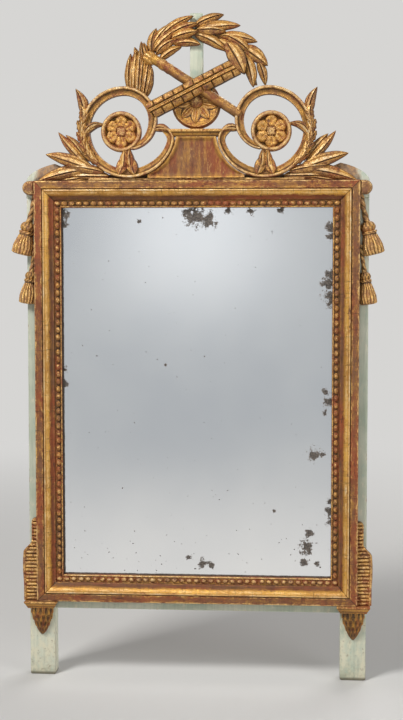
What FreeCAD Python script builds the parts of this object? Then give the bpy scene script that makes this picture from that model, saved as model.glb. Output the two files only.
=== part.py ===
import FreeCAD, Part
import math
import os
import re
import Sketcher

# A carved, gilt and painted wood mirror on two legs: X across, -Y to the front, Z up.
# Every piece is drawn with its back or front on the plane of the posts' front face;
# "height" over that plane is towards the front. mid_plane then centres the part in depth.

Vec = FreeCAD.Vector
doc = FreeCAD.newDocument("CarvedMirror")

SIZES = {
    # Opening and gilt moulding
    "sight_width": 517, "sight_height": 709, "sight_floor": 201,
    "face_width": 51, "slip_width": 15,
    "band_width": 15, "band_height": 22, "quirk_width": 2, "quirk_depth": 2,
    "fillet_width": 3, "fillet_height": 24, "ogee_foot": 10.5, "ogee_radius": 14,
    "bed_height": 8, "lip_width": 5, "lip_height": 9.5,
    "bead_width": 9, "bead_rise": 4.5, "bead_pitch": 14,
    # Painted carcase
    "post_width": 50, "post_depth": 36, "post_reveal": 17.5,
    "back_rail_depth": 22, "bottom_rail_drop": 18,
    "shoulder_rise": 33, "shoulder_in": 55, "shoulder_run": 50, "shoulder_radius": 80,
    "crest_post_width": 25, "crest_post_depth": 20, "crest_height": 309,
    "tenon_thick": 8, "tenon_long": 26, "tenon_wide": 30, "tenon_shoulder": 8,
    "crest_tenon_wide": 14, "peg_radius": 3.5, "fit_gap": 0.15,
    # Glass and back
    "glass_lap": 8, "glass_thick": 4, "glazing_play": 0.5, "glazing_strip": 10, "glazing_depth": 8,
    "block_long": 24, "block_wide": 9, "board_thick": 9,
    "nail_radius": 1.2, "nail_head_radius": 3, "nail_head_thick": 1, "nail_depth": 6, "nail_edge": 22,
    "screw_radius": 2.2, "screw_head_radius": 4.2, "screw_head_thick": 3, "screw_grip": 12, "screw_end": 110,
    # Ears, tassels, brackets and drops
    "ear_reach": 23, "ear_height": 27, "ear_depth": 20,
    "upper_tassel_out": 15.5, "upper_tassel_drop": 78, "upper_tassel_lean": 14,
    "upper_knob_radius": 12.5, "upper_knob_height": 20, "upper_neck_radius": 9,
    "upper_skirt_radius": 18, "upper_skirt_height": 44, "upper_cord_radius": 6,
    "lower_tassel_out": 9.5, "lower_tassel_drop": 173, "lower_tassel_lean": 8,
    "lower_knob_radius": 10, "lower_knob_height": 16, "lower_neck_radius": 7.5,
    "lower_skirt_radius": 16, "lower_skirt_height": 46, "lower_cord_radius": 3.5, "lower_cord_rise": 52,
    "bracket_wide": 29, "bracket_narrow": 13, "bracket_step": 100, "bracket_tall": 161,
    "bracket_back": 9, "reed_radius": 3.4, "reed_pitch": 7, "reed_lap": 2,
    "block_height": 14, "block_depth": 26, "block_over": 7, "block_in": 3.5,
    "drop_radius": 25, "drop_height": 56, "drop_curve": 62, "drop_tip": 1.5,
    # Crest
    "base_rise": 5, "base_in": 14, "base_depth": 14, "seat_flat": 0.6,
    "scroll_reach": 219, "scroll_outer": 82, "scroll_lower": 90.5, "scroll_inner": 64,
    "scroll_band": 17, "scroll_depth": 22, "scroll_edge": 3.5, "scroll_dip": 6, "scroll_hollow": 16,
    "volute_radius": 56, "volute_turn": 82, "curl_radius": 28, "curl_band": 14, "curl_start": 17.7,
    "curl_turn": 102,
    "rosette_out": 5, "rosette_rise": 87, "rosette_radius": 38.5, "rosette_back": 2, "rosette_rim": 20,
    "rosette_rim_width": 7, "rosette_floor": 12,
    "flower_boss": 12, "flower_boss_rise": 8, "petal_radius": 8.5, "petal_ring": 17.5, "petal_rise": 6,
    "petal_taper": 22,
    "husk_in": 11, "husk_top": 24, "husk_wide": 36, "husk_back": 3, "husk_depth": 15, "husk_curve": 40,
    "plinth_foot": 92, "plinth_depth": 18, "plinth_height": 77, "cap_height": 14, "cap_depth": 23,
    "cap_neck": 8, "cap_reach": 50, "carve_gap": 0.1,
    "patera_radius": 46.5, "patera_lift": 0.5, "patera_face": 6, "patera_rim": 9, "patera_rim_width": 6,
    "patera_boss": 9,
    "patera_boss_rise": 11, "patera_petal_width": 16, "patera_petal_rise": 9,
    "cross_rise": 80, "torch_radius": 8.5, "torch_axis": 17.5, "torch_up": 98, "torch_down": 112,
    "torch_slope": 33, "quiver_width": 32, "quiver_back": 9.5, "quiver_side": 24, "crest_front": 33,
    "quiver_up": 88, "quiver_down": 110, "quiver_slope": 28,
    "wreath_radius": 110, "wreath_drop": 144, "wreath_leaf_width": 19, "wreath_leaf_rise": 13,
    "wreath_stem": 8, "wreath_stem_rise": 6, "leaf_edge": 3,
    "spray_in": 6, "spray_rise": 32, "spray_leaf": 72, "spray_leaf_width": 19, "spray_leaf_rise": 13,
    "scroll_leaf_width": 24, "scroll_leaf_rise": 29,
    # Hanging hardware
    "hanger_x": 180, "hanger_lift": 2, "hanger_wide": 44, "hanger_tall": 20, "hanger_thick": 2,
    "barrel_radius": 4.5, "barrel_long": 14, "barrel_off": 4.2, "pivot_radius": 2, "pivot_play": 0.05,
    "pivot_long": 24, "ring_inner": 12, "ring_wall": 4, "ring_thick": 4, "ring_drop": 21,
    "arm_inner": 8, "arm_width": 3, "hanger_screw_x": 16.5, "hanger_screw_radius": 1.5,
    "hanger_screw_head": 3, "hanger_screw_head_thick": 1.2, "hanger_screw_long": 10,
    "overrun": 2,
}

PLACES = {
    "half_sight": "sight_width / 2",
    "frame_half": "half_sight + face_width",
    "sight_top": "sight_floor + sight_height",
    "frame_top": "sight_top + face_width",
    "frame_floor": "sight_floor - face_width",
    "rail_width": "face_width - slip_width",
    "ogee_start": "band_width + quirk_width + fillet_width",
    "post_outer": "frame_half + post_reveal",
    "post_inner": "post_outer - post_width",
    "post_axis": "post_outer - post_width / 2",
    "mid_plane": "(crest_front - post_depth) / 2",
    "glass_half": "half_sight + glass_lap",
    "glass_floor": "sight_floor - glass_lap",
    "glass_top": "sight_top + glass_lap",
    "strip_inner": "glass_half + glazing_play",
    "strip_axis": "(strip_inner + post_inner) / 2",
    "bottom_rail_top": "glass_floor - glazing_strip",
    "bottom_rail_floor": "frame_floor - bottom_rail_drop",
    "strip_top": "glass_top + glazing_play",
    "top_rail_floor": "strip_top + glazing_strip",
    "base_top": "frame_top + base_rise",
    "board_height": "(top_rail_floor - bottom_rail_top - 4 * glazing_play) / 3",
    "board_pitch": "board_height + glazing_play",
    "tenon_drop": "(back_rail_depth - tenon_thick) / 2",
    "top_peg": "top_rail_floor + tenon_long / 2",
    "bottom_peg": "(bottom_rail_floor + bottom_rail_top) / 2",
    "crest_peg": "base_top - tenon_long / 2",
    "ear_floor": "frame_top - ear_height",
    "upper_tassel_x": "frame_half + upper_tassel_out",
    "upper_tassel_z": "frame_top - upper_tassel_drop",
    "lower_tassel_x": "frame_half + lower_tassel_out",
    "lower_tassel_z": "frame_top - lower_tassel_drop",
    "block_floor": "frame_floor - block_height",
    "wide_top": "frame_floor + bracket_step",
    "narrow_top": "frame_floor + bracket_tall",
    "scroll_low": "base_top - seat_flat",
    "lower_z": "scroll_low + scroll_lower",
    "lower_x": "scroll_reach - scroll_lower",
    "outer_x": "scroll_reach - scroll_outer",
    "scroll_top": "lower_z + scroll_outer",
    "inner_z": "scroll_top - scroll_inner",
    "volute_x": "outer_x - scroll_inner + volute_radius",
    "curl_x": "lower_x - (scroll_lower - curl_radius) * cos(curl_start * 1deg)",
    "curl_z": "lower_z - (scroll_lower - curl_radius) * sin(curl_start * 1deg)",
    "cap_floor": "base_top + plinth_height",
    "cap_top": "cap_floor + cap_height",
    "side_radius": "scroll_lower + carve_gap",
    "patera_z": "cap_top + patera_lift + patera_radius",
    "cross_z": "cap_top + cross_rise",
    "crest_top": "base_top + crest_height",
    "wreath_z": "crest_top - wreath_drop",
    "rosette_x": "outer_x + rosette_out",
    "rosette_z": "base_top + rosette_rise",
    "husk_x": "rosette_x - husk_in",
    "spray_x": "scroll_reach - spray_in",
    "spray_z": "base_top + spray_rise",
    "base_reach": "scroll_reach - base_in",
    "bar_z": "(top_rail_floor + base_top) / 2 + hanger_lift",
    "bar_height": "back_rail_depth + hanger_thick + barrel_off",
    "ring_z": "bar_z - ring_drop",
    "ring_outer": "ring_inner + ring_wall",
}

# Laurel leaves about the wreath's centre: angle and share of its radius at root and at tip
LEFT_LEAF_SHARES = (
    (175, 1.10, 148, 1.29), (181, 0.99, 145, 1.24), (183, 0.92, 144, 1.13), (183, 0.85, 145, 0.88),
    (141, 0.99, 123, 1.24), (147, 1.00, 138, 1.20), (142, 0.81, 109, 0.77), (138, 0.97, 110, 1.01),
    (120, 1.10, 92, 1.25), (112, 1.02, 88, 1.11), (116, 0.97, 90, 0.98), (117, 0.88, 84, 0.77),
)
RIGHT_LEAF_SHARES = (
    (90, 1.08, 69, 1.36), (86, 1.03, 54, 1.31), (84, 0.95, 50, 0.89), (70, 1.01, 37, 1.33),
    (53, 0.97, 20, 0.92), (43, 1.04, 19, 1.29), (28, 1.01, -1, 0.98), (25, 1.07, 1, 1.15),
)
# Spray leaves from one root: direction in degrees and share of the leaf length
SPRAY_LEAF_SHARES = ((53, 1.0), (30, 0.62), (14, 0.95), (-8, 0.85), (-18, 1.15), (-33, 0.78))
# Leaves along the scroll's outer arc, about its centre: as the laurel, then share of the width
SCROLL_LEAF_SHARES = (
    (-47, 1.10, 0, 1.09, 0.95), (-18, 1.12, 33, 1.02, 1.0), (29, 0.93, 40.6, 1.46, 0.66),
    (-3, 1.06, 33.3, 0.5, 0.7),
)
SCREW_SHARES = (0, 0.5, 1)

CELLS = {name: "Sizes." + name for name in SIZES}
CELLS.update({name: "Places." + name for name in PLACES})


def refs(text):
    """Turns plain size names in a formula into references to their cells."""
    return re.sub(r"[a-z_]+", lambda word: CELLS.get(word.group(), word.group()), text)


def fill_sheet(name, cells):
    """Writes one named value to each row of a new sheet."""
    sheet = doc.addObject("Spreadsheet::Sheet", name)
    for row, (alias, content) in enumerate(cells.items(), 1):
        sheet.set("A%d" % row, alias)
        sheet.set("B%d" % row, content)
        sheet.setAlias("B%d" % row, alias)
    return sheet


sizes = fill_sheet("Sizes", {name: str(value) for name, value in SIZES.items()})
fill_sheet("Places", {name: "=" + refs(text) for name, text in PLACES.items()})
doc.recompute()
nodes = {}


def num(text):
    """The present value of a formula in size names."""
    value = sizes.evalExpression(refs(text))
    return float(getattr(value, "Value", value))


def bind(thing, prop, text):
    """Ties a property to a formula in size names."""
    thing.setExpression(prop, refs(text))


def new_body(label, x="0", y="mid_plane", z="0", turn=None):
    """A body placed by formulas; turn is its angle about Y."""
    body = doc.addObject("PartDesign::Body", label)
    body.Label = label
    if turn is not None:
        body.Placement = FreeCAD.Placement(Vec(), FreeCAD.Rotation(Vec(0, 1, 0), turn))
    for axis, text in zip("xyz", (x, y, z)):
        bind(body, "Placement.Base." + axis, text)
    return body


def finish(label, piece):
    """Files a piece under its node name."""
    piece.Label = label
    nodes[label] = piece
    return piece


def new_sketch(body, role, shift=("0", "0", "0")):
    """An empty sketch on one of the body's planes, moved by formulas in the sketch's own axes."""
    sketch = body.newObject("Sketcher::SketchObject", body.Name + "_sketch")
    plane = next(item for item in body.Origin.OriginFeatures if item.Role == role)
    sketch.AttachmentSupport = [(plane, "")]
    sketch.MapMode = "FlatFace"
    for axis, text in zip("xyz", shift):
        bind(sketch, "AttachmentOffset.Base." + axis, text)
    return sketch


def hold(sketch, kind, geometry, position, text):
    """Fixes one coordinate of a point, or a radius, by a formula."""
    place = (geometry,) if position is None else (geometry, position)
    index = sketch.addConstraint(Sketcher.Constraint(kind, *place, num(text)))
    sketch.setExpression("Constraints[%d]" % index, refs(text))


def arc_between(start, end, radius, turn):
    """The lesser arc from start to end that turns left (1) or right (-1)."""
    half = (end - start) * 0.5
    rise = math.sqrt(max(radius ** 2 - half.Length ** 2, 0))
    left = Vec(-half.y, half.x, 0).normalize()
    centre = start + half + left * (rise * turn)
    first, last = (start, end) if turn > 0 else (end, start)
    angles = [math.atan2(p.y - centre.y, p.x - centre.x) for p in (first, last)]
    return Part.ArcOfCircle(Part.Circle(centre, Vec(0, 0, 1), radius), *angles)


def add_loop(sketch, corners):
    """A closed outline; a corner with a radius and a turn is joined to the next by that arc."""
    points = [Vec(num(corner[0]), num(corner[1]), 0) for corner in corners]
    ends = []
    for k, corner in enumerate(corners):
        start, end = points[k], points[(k + 1) % len(points)]
        if len(corner) == 2:
            ends.append((sketch.addGeometry(Part.LineSegment(start, end)), 1, 2))
            continue
        turn = corner[3]
        arc = sketch.addGeometry(arc_between(start, end, num(corner[2]), turn))
        ends.append((arc, 1, 2) if turn > 0 else (arc, 2, 1))
    for k, (geometry, first, last) in enumerate(ends):
        follower = ends[(k + 1) % len(ends)]
        sketch.addConstraint(Sketcher.Constraint("Coincident", geometry, last, follower[0], follower[1]))
    for corner, (geometry, first, last) in zip(corners, ends):
        hold(sketch, "DistanceX", geometry, first, corner[0])
        hold(sketch, "DistanceY", geometry, first, corner[1])
        if len(corner) > 2:
            hold(sketch, "Radius", geometry, None, corner[2])


def add_circle(sketch, x, y, radius):
    """A circle with its centre and radius held by formulas."""
    centre = Vec(num(x), num(y), 0)
    circle = sketch.addGeometry(Part.Circle(centre, Vec(0, 0, 1), num(radius)))
    hold(sketch, "DistanceX", circle, 3, x)
    hold(sketch, "DistanceY", circle, 3, y)
    hold(sketch, "Radius", circle, None, radius)


def rectangle(left, low, right, high):
    """Corners of an upright rectangle."""
    return ((left, low), (right, low), (right, high), (left, high))


def extrude(body, kind, sketch, length, side="One side", reverse=False):
    """A pad or pocket of a sketch."""
    feature = body.newObject("PartDesign::" + kind, body.Name + "_" + kind.lower())
    feature.Profile = sketch
    feature.SideType = side
    feature.Reversed = reverse
    if length is None:
        feature.Type = "ThroughAll"
    else:
        bind(feature, "Length", length)
    return feature


def pad_loop(body, role, corners, length, shift=("0", "0", "0"), **how):
    """Draws one outline and pads it."""
    sketch = new_sketch(body, role, shift)
    add_loop(sketch, corners)
    return extrude(body, "Pad", sketch, length, **how)


def cut_loop(body, role, corners, length, shift=("0", "0", "0"), **how):
    """Draws one outline and cuts it out."""
    sketch = new_sketch(body, role, shift)
    add_loop(sketch, corners)
    return extrude(body, "Pocket", sketch, length, **how)


def cut_holes(body, role, holes, length, shift=("0", "0", "0"), **how):
    """Cuts round holes given as centre and radius."""
    sketch = new_sketch(body, role, shift)
    for hole in holes:
        add_circle(sketch, *hole)
    return extrude(body, "Pocket", sketch, length, **how)


def spin(body, role, corners, axis, angle, shift=("0", "0", "0"), reverse=False):
    """Turns one outline about the sketch's own axis by an angle in degrees."""
    sketch = new_sketch(body, role, shift)
    add_loop(sketch, corners)
    feature = body.newObject("PartDesign::Revolution", body.Name + "_spin")
    feature.Profile = sketch
    feature.ReferenceAxis = (sketch, [axis])
    feature.Reversed = reverse
    bind(feature, "Angle", angle)
    return feature


def repeat(body, original, kind, role, count, **extent):
    """A linear or polar pattern of one feature, which becomes the end of the body."""
    pattern = body.newObject("PartDesign::" + kind, body.Name + "_pattern")
    pattern.Originals = [original]
    axis = next(item for item in body.Origin.OriginFeatures if item.Role == role)
    if kind == "PolarPattern":
        pattern.Axis = (axis, [""])
    else:
        pattern.Direction = (axis, [""])
    bind(pattern, "Occurrences", count)
    for prop, text in extent.items():
        bind(pattern, prop, text)
    body.Tip = pattern
    return pattern


def mirrored(label, source):
    """The same piece on the other side."""
    copy = doc.addObject("Part::Mirroring", label)
    copy.Source = source
    copy.Normal = Vec(1, 0, 0)
    return finish(label, copy)


def pared(label, base, *tools):
    """A piece with its neighbours' shapes cut out of it, so that it seats on them."""
    for tool in tools:
        cut = doc.addObject("Part::Cut", label + "_cut")
        cut.Base = base
        cut.Tool = tool
        base = cut
    return base


def box(name, x, y, z, length, width, height):
    """A plain block placed and sized by formulas."""
    block = doc.addObject("Part::Box", name)
    for prop, text in zip(("Length", "Width", "Height"), (length, width, height)):
        bind(block, prop, text)
    for axis, text in zip("xyz", (x, y, z)):
        bind(block, "Placement.Base." + axis, text)
    return block


def rod(name, x, y, z, radius, length, axis=Vec(0, 1, 0)):
    """A cylinder that starts at a place and runs along an axis."""
    cylinder = doc.addObject("Part::Cylinder", name)
    cylinder.Placement = FreeCAD.Placement(Vec(), FreeCAD.Rotation(Vec(0, 0, 1), axis))
    bind(cylinder, "Radius", radius)
    bind(cylinder, "Height", length)
    for letter, text in zip("xyz", (x, y, z)):
        bind(cylinder, "Placement.Base." + letter, text)
    return cylinder


def group(label, members):
    """Like pieces kept apart in one node."""
    compound = doc.addObject("Part::Compound", label)
    compound.Links = members
    return finish(label, compound)


def at_sides(text):
    """A formula and its mirror image."""
    return (text, "-(" + text + ")")


def between(low, high, share):
    """A formula for a place part of the way from low to high."""
    return "%s + (%s - (%s)) * %s" % (low, high, low, share)


SCREW_HEIGHTS = [between("frame_floor + screw_end", "frame_top - screw_end", share) for share in SCREW_SHARES]
NAIL_HEIGHTS = []
for board in range(3):
    start = "bottom_rail_top + glazing_play + %d * board_pitch" % board
    NAIL_HEIGHTS.append((start, (start + " + nail_edge", start + " + board_height - nail_edge")))


# Gilt moulding
MOULDING = (
    ("0", "0"), ("0", "-band_height"), ("band_width", "-band_height"),
    ("band_width", "quirk_depth - band_height"),
    ("band_width + quirk_width", "quirk_depth - band_height"),
    ("band_width + quirk_width", "-fillet_height"),
    ("ogee_start", "-fillet_height", "ogee_radius", 1),
    ("(ogee_start + rail_width) / 2", "-(fillet_height + ogee_foot) / 2", "ogee_radius", -1),
    ("rail_width", "-ogee_foot"), ("rail_width", "0"),
)
SLIP = (
    ("0", "0"), ("0", "-bed_height"), ("slip_width - lip_width", "-bed_height"),
    ("slip_width - lip_width", "-lip_height"), ("slip_width", "-lip_height"), ("slip_width", "0"),
)


def mitred_length(body, profile, length, width):
    """A moulding of a given outer length with both ends cut to 45 degrees."""
    pad_loop(body, "XY_Plane", profile, length, side="Symmetric")
    half = "(%s) / 2" % length
    for sign in ("", "-"):
        cut_loop(body, "XZ_Plane", (
            ("-overrun", sign + "(%s + overrun)" % half),
            (width + " + overrun", sign + "(%s - %s - overrun)" % (half, width)),
            (width + " + overrun", sign + "(%s + overrun)" % half)), None, side="Symmetric")


def add_beads(body, length):
    """A row of flat-topped pearls along the slip's bed."""
    count = "floor((%s - 2 * slip_width) / bead_pitch)" % length
    row = "((%s - 1) * bead_pitch)" % count
    middle = "(slip_width - lip_width) / 2"
    sketch = new_sketch(body, "XZ_Plane", (middle, "-%s / 2" % row, "bed_height"))
    half, corner = "bead_width / 2", "bead_width / 2 * (sqrt(2) - 1)"
    add_loop(sketch, (
        (half, "-" + corner), (half, corner), (corner, half), ("-" + corner, half),
        ("-" + half, corner), ("-" + half, "-" + corner), ("-" + corner, "-" + half), (corner, "-" + half)))
    bead = extrude(body, "Pad", sketch, "bead_rise")
    bead.TaperAngle = -BEAD_TAPER
    repeat(body, bead, "LinearPattern", "Z_Axis", count, Length=row)


BEAD_TAPER = 28
SIDES = {
    "left": (0, "-frame_half", "(sight_floor + sight_top) / 2", "sight_height"),
    "right": (180, "frame_half", "(sight_floor + sight_top) / 2", "sight_height"),
    "top": (90, "0", "frame_top", "sight_width"),
    "bottom": (-90, "0", "frame_floor", "sight_width"),
}
for side, (turn, x, z, opening) in SIDES.items():
    upright = side in ("left", "right")
    label = "frame_%s_%s" % (side, "stile" if upright else "rail")
    rail = new_body(label, x=x, z=z, turn=turn)
    mitred_length(rail, MOULDING, opening + " + 2 * face_width", "rail_width")
    if upright:
        middle = "(sight_floor + sight_top) / 2"
        holes = [("frame_half - post_axis", "%s - (%s)" % (height, middle), "screw_radius + fit_gap")
                 for height in SCREW_HEIGHTS]
        cut_holes(rail, "XZ_Plane", holes, "screw_grip", reverse=True)
    finish(label, rail)

    inset = {"left": ("-frame_half + rail_width", z), "right": ("frame_half - rail_width", z),
             "top": (x, "frame_top - rail_width"), "bottom": (x, "frame_floor + rail_width")}[side]
    slip = new_body("bead_slip_" + side, x=inset[0], z=inset[1], turn=turn)
    mitred_length(slip, SLIP, opening + " + 2 * slip_width", "slip_width")
    add_beads(slip, opening + " + 2 * slip_width")
    finish("bead_slip_" + side, slip)


# Painted posts, rails and the pegs of their joints
def make_post():
    """The right post with its top tenon, the mortise for the low rail, peg and screw holes."""
    post = new_body("right_post")
    left, right = "post_inner", "post_outer"
    pad_loop(post, "XZ_Plane", rectangle(left, "0", right, "top_rail_floor"), "post_depth", reverse=True)
    pad_loop(post, "XZ_Plane",
             rectangle("post_axis - tenon_wide / 2", "top_rail_floor - overrun",
                       "post_axis + tenon_wide / 2", "top_rail_floor + tenon_long"),
             "tenon_thick", ("0", "0", "-tenon_drop"), reverse=True)
    cut_loop(post, "YZ_Plane",
             rectangle("tenon_drop - fit_gap", "bottom_rail_floor + tenon_shoulder - fit_gap",
                       "tenon_drop + tenon_thick + fit_gap", "bottom_rail_top - tenon_shoulder + fit_gap"),
             "tenon_long + fit_gap", ("0", "0", left), reverse=True)
    cut_holes(post, "XZ_Plane", [("post_inner + tenon_long / 2", "bottom_peg", "peg_radius + fit_gap"),
                                 ("post_axis", "top_peg", "peg_radius + fit_gap")], None, side="Symmetric")
    cut_holes(post, "XZ_Plane", [("post_axis", z, "screw_radius + fit_gap") for z in SCREW_HEIGHTS],
              None, side="Symmetric")
    cut_holes(post, "XZ_Plane", [("post_axis", z, "screw_head_radius + fit_gap") for z in SCREW_HEIGHTS],
              "screw_head_thick", ("0", "0", "-post_depth"), reverse=True)
    return post


finish("right_post", make_post())
mirrored("left_post", nodes["right_post"])


def make_bottom_rail():
    """The low rail between the posts, with a tenon at each end."""
    rail = new_body("back_bottom_rail")
    pad_loop(rail, "XZ_Plane", rectangle("-post_inner", "bottom_rail_floor", "post_inner", "bottom_rail_top"),
             "back_rail_depth", reverse=True)
    pad_loop(rail, "XZ_Plane",
             rectangle("-post_inner - tenon_long", "bottom_rail_floor + tenon_shoulder",
                       "post_inner + tenon_long", "bottom_rail_top - tenon_shoulder"),
             "tenon_thick", ("0", "0", "-tenon_drop"), reverse=True)
    cut_holes(rail, "XZ_Plane", [(x, "bottom_peg", "peg_radius + fit_gap")
                                 for x in at_sides("post_inner + tenon_long / 2")], None, side="Symmetric")
    return rail


def make_top_rail():
    """The top board with its shoulders, mortises, peg holes and the hangers' screw holes."""
    rail = new_body("back_top_rail")
    peak, foot = "post_outer - shoulder_in", "post_outer - shoulder_in - shoulder_run"
    pad_loop(rail, "XZ_Plane", (
        ("-post_outer", "top_rail_floor"), ("post_outer", "top_rail_floor"),
        ("post_outer", "frame_top", "shoulder_radius", 1), (peak, "frame_top + shoulder_rise"),
        (foot, "base_top"), ("-(%s)" % foot, "base_top"),
        ("-(%s)" % peak, "frame_top + shoulder_rise", "shoulder_radius", 1),
        ("-post_outer", "frame_top")), "back_rail_depth", reverse=True)
    for x in at_sides("post_axis"):
        cut_loop(rail, "XY_Plane",
                 rectangle(x + " - tenon_wide / 2 - fit_gap", "tenon_drop - fit_gap",
                           x + " + tenon_wide / 2 + fit_gap", "tenon_drop + tenon_thick + fit_gap"),
                 "tenon_long + fit_gap", ("0", "0", "top_rail_floor"), reverse=True)
    cut_loop(rail, "XY_Plane",
             rectangle("-crest_tenon_wide / 2 - fit_gap", "tenon_drop - fit_gap",
                       "crest_tenon_wide / 2 + fit_gap", "tenon_drop + tenon_thick + fit_gap"),
             "tenon_long + fit_gap", ("0", "0", "base_top"))
    pegs = [(x, "top_peg") for x in at_sides("post_axis")] + [("0", "crest_peg")]
    cut_holes(rail, "XZ_Plane", [peg + ("peg_radius + fit_gap",) for peg in pegs], None, side="Symmetric")
    screws = [(side + edge + "hanger_screw_x", "bar_z", "hanger_screw_radius + fit_gap")
              for side in at_sides("hanger_x") for edge in (" - ", " + ")]
    cut_holes(rail, "XZ_Plane", screws, "hanger_screw_long", ("0", "0", "-back_rail_depth"), reverse=True)
    return rail


def make_crest_post():
    """The upright behind the crest, tenoned into the top board."""
    post = new_body("crest_post")
    pad_loop(post, "XZ_Plane",
             rectangle("-crest_post_width / 2", "base_top", "crest_post_width / 2", "crest_top"),
             "crest_post_depth", reverse=True)
    pad_loop(post, "XZ_Plane",
             rectangle("-crest_tenon_wide / 2", "base_top - tenon_long", "crest_tenon_wide / 2",
                       "base_top + overrun"),
             "tenon_thick", ("0", "0", "-tenon_drop"), reverse=True)
    cut_holes(post, "XZ_Plane", [("0", "crest_peg", "peg_radius + fit_gap")], None, side="Symmetric")
    return post


finish("back_bottom_rail", make_bottom_rail())
finish("back_top_rail", make_top_rail())
finish("crest_post", make_crest_post())
pegs = [rod("bottom_peg", x, "mid_plane", "bottom_peg", "peg_radius", "post_depth")
        for x in at_sides("post_inner + tenon_long / 2")]
pegs += [rod("top_peg", x, "mid_plane", "top_peg", "peg_radius", "back_rail_depth")
         for x in at_sides("post_axis")]
pegs.append(rod("crest_peg", "0", "mid_plane", "crest_peg", "peg_radius", "back_rail_depth"))
group("joint_pegs", pegs)


# Glass, its strips and blocks, and the boards behind
plate = box("mirror_plate", "-glass_half", "mid_plane", "glass_floor", "2 * glass_half", "glass_thick",
            "glass_top - glass_floor")
finish("mirror_plate", plate)


def side_strip():
    """The strip beside the right edge of the glass, with the nails' holes."""
    strip = new_body("side_strip")
    pad_loop(strip, "XZ_Plane", rectangle("strip_inner", "glass_floor", "post_inner", "strip_top"),
             "glazing_depth", reverse=True)
    heights = [height for start, pair in NAIL_HEIGHTS for height in pair]
    cut_holes(strip, "XZ_Plane", [("strip_axis", height, "nail_radius + fit_gap") for height in heights],
              "nail_depth", ("0", "0", "-glazing_depth"), reverse=True)
    return strip


right_strip = side_strip()
left_strip = doc.addObject("Part::Mirroring", "left_strip")
left_strip.Source = right_strip
left_strip.Normal = Vec(1, 0, 0)
cross_strips = [box("cross_strip", "-post_inner", "mid_plane", floor, "2 * post_inner", "glazing_depth",
                    "glazing_strip") for floor in ("bottom_rail_top", "strip_top")]
group("glazing_fillets", [right_strip, left_strip] + cross_strips)

blocks = []
for x in ("strip_inner - block_wide", "-strip_inner"):
    for share in SCREW_SHARES:
        middle = between("sight_floor + block_long", "sight_top - block_long", share)
        blocks.append(box("side_block", x, "mid_plane + glass_thick", middle + " - block_long / 2",
                          "block_wide", "glazing_depth - glass_thick", "block_long"))
group("glazing_blocks", blocks)

nails = []
for name, (start, heights) in zip(("bottom", "middle", "top"), NAIL_HEIGHTS):
    board = new_body("backboard_" + name)
    pad_loop(board, "XZ_Plane",
             rectangle("-post_inner + glazing_play", start,
                       "post_inner - glazing_play", start + " + board_height"),
             "board_thick", ("0", "0", "-glazing_depth"), reverse=True)
    spots = [(x, height) for x in at_sides("strip_axis") for height in heights]
    cut_holes(board, "XZ_Plane", [spot + ("nail_radius + fit_gap",) for spot in spots], None, side="Symmetric")
    finish("backboard_" + name, board)
    for x, height in spots:
        back = "mid_plane + glazing_depth + board_thick"
        shank = rod("nail_shank", x, back + " - board_thick - nail_depth", height, "nail_radius",
                    "board_thick + nail_depth + nail_head_thick / 2")
        head = rod("nail_head", x, back, height, "nail_head_radius", "nail_head_thick")
        nail = doc.addObject("Part::Fuse", "backboard_nail")
        nail.Base = shank
        nail.Tool = head
        nails.append(nail)
group("backboard_nails", nails)

screws = []
for x in at_sides("post_axis"):
    for height in SCREW_HEIGHTS:
        shank = rod("screw_shank", x, "mid_plane - screw_grip", height, "screw_radius",
                    "screw_grip + post_depth - screw_head_thick / 2")
        head = rod("screw_head", x, "mid_plane + post_depth - screw_head_thick", height, "screw_head_radius",
                   "screw_head_thick")
        screw = doc.addObject("Part::Fuse", "frame_screw")
        screw.Base = shank
        screw.Tool = head
        screws.append(screw)
group("frame_screws", screws)


# Ears, tassels, brackets and drops on the right, mirrored to the left
def make_ear():
    """A block at the top corner with a round end."""
    ear = new_body("right_ear")
    bend, tip = "frame_half + ear_reach - ear_height / 2", "frame_half + ear_reach"
    pad_loop(ear, "XZ_Plane", (
        ("frame_half", "ear_floor"), (bend, "ear_floor", "ear_height / 2", 1),
        (tip, "ear_floor + ear_height / 2", "ear_height / 2", 1), (bend, "frame_top"),
        ("frame_half", "frame_top")), "ear_depth")
    return ear


def make_tassel(kind):
    """A leaning half-round tassel: knob, neck and flared skirt about its own axis."""
    x, z = kind + "_tassel_x", kind + "_tassel_z"
    tassel = new_body(kind + "_tassel_body", x=x, z=z, turn=-num(kind + "_tassel_lean"))
    knob, neck, tall = kind + "_knob_radius", kind + "_neck_radius", kind + "_knob_height"
    skirt, length = kind + "_skirt_radius", "%s_knob_height + %s_skirt_height" % (kind, kind)
    curve = "%s * 1.1" % tall
    spin(tassel, "XZ_Plane", (
        ("0", "-(%s)" % length), (skirt, "-(%s)" % length, curve + " * 6", -1), (neck, "-" + tall, curve, 1),
        (knob, "-%s / 2" % tall, curve, 1), (neck + " / 2", "0"), ("0", "0")),
        "V_Axis", "180", reverse=True)
    return tassel


def make_cord(name, x, low, length, radius):
    """A half-round carved cord down the face of the post."""
    cord = rod(name, x, "mid_plane", low, radius, length, Vec(0, 0, 1))
    cord.Angle = 180
    cord.Placement = FreeCAD.Placement(cord.Placement.Base, FreeCAD.Rotation(Vec(0, 0, 1), 180))
    for letter, text in zip("xyz", (x, "mid_plane", low)):
        bind(cord, "Placement.Base." + letter, text)
    return cord


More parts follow.
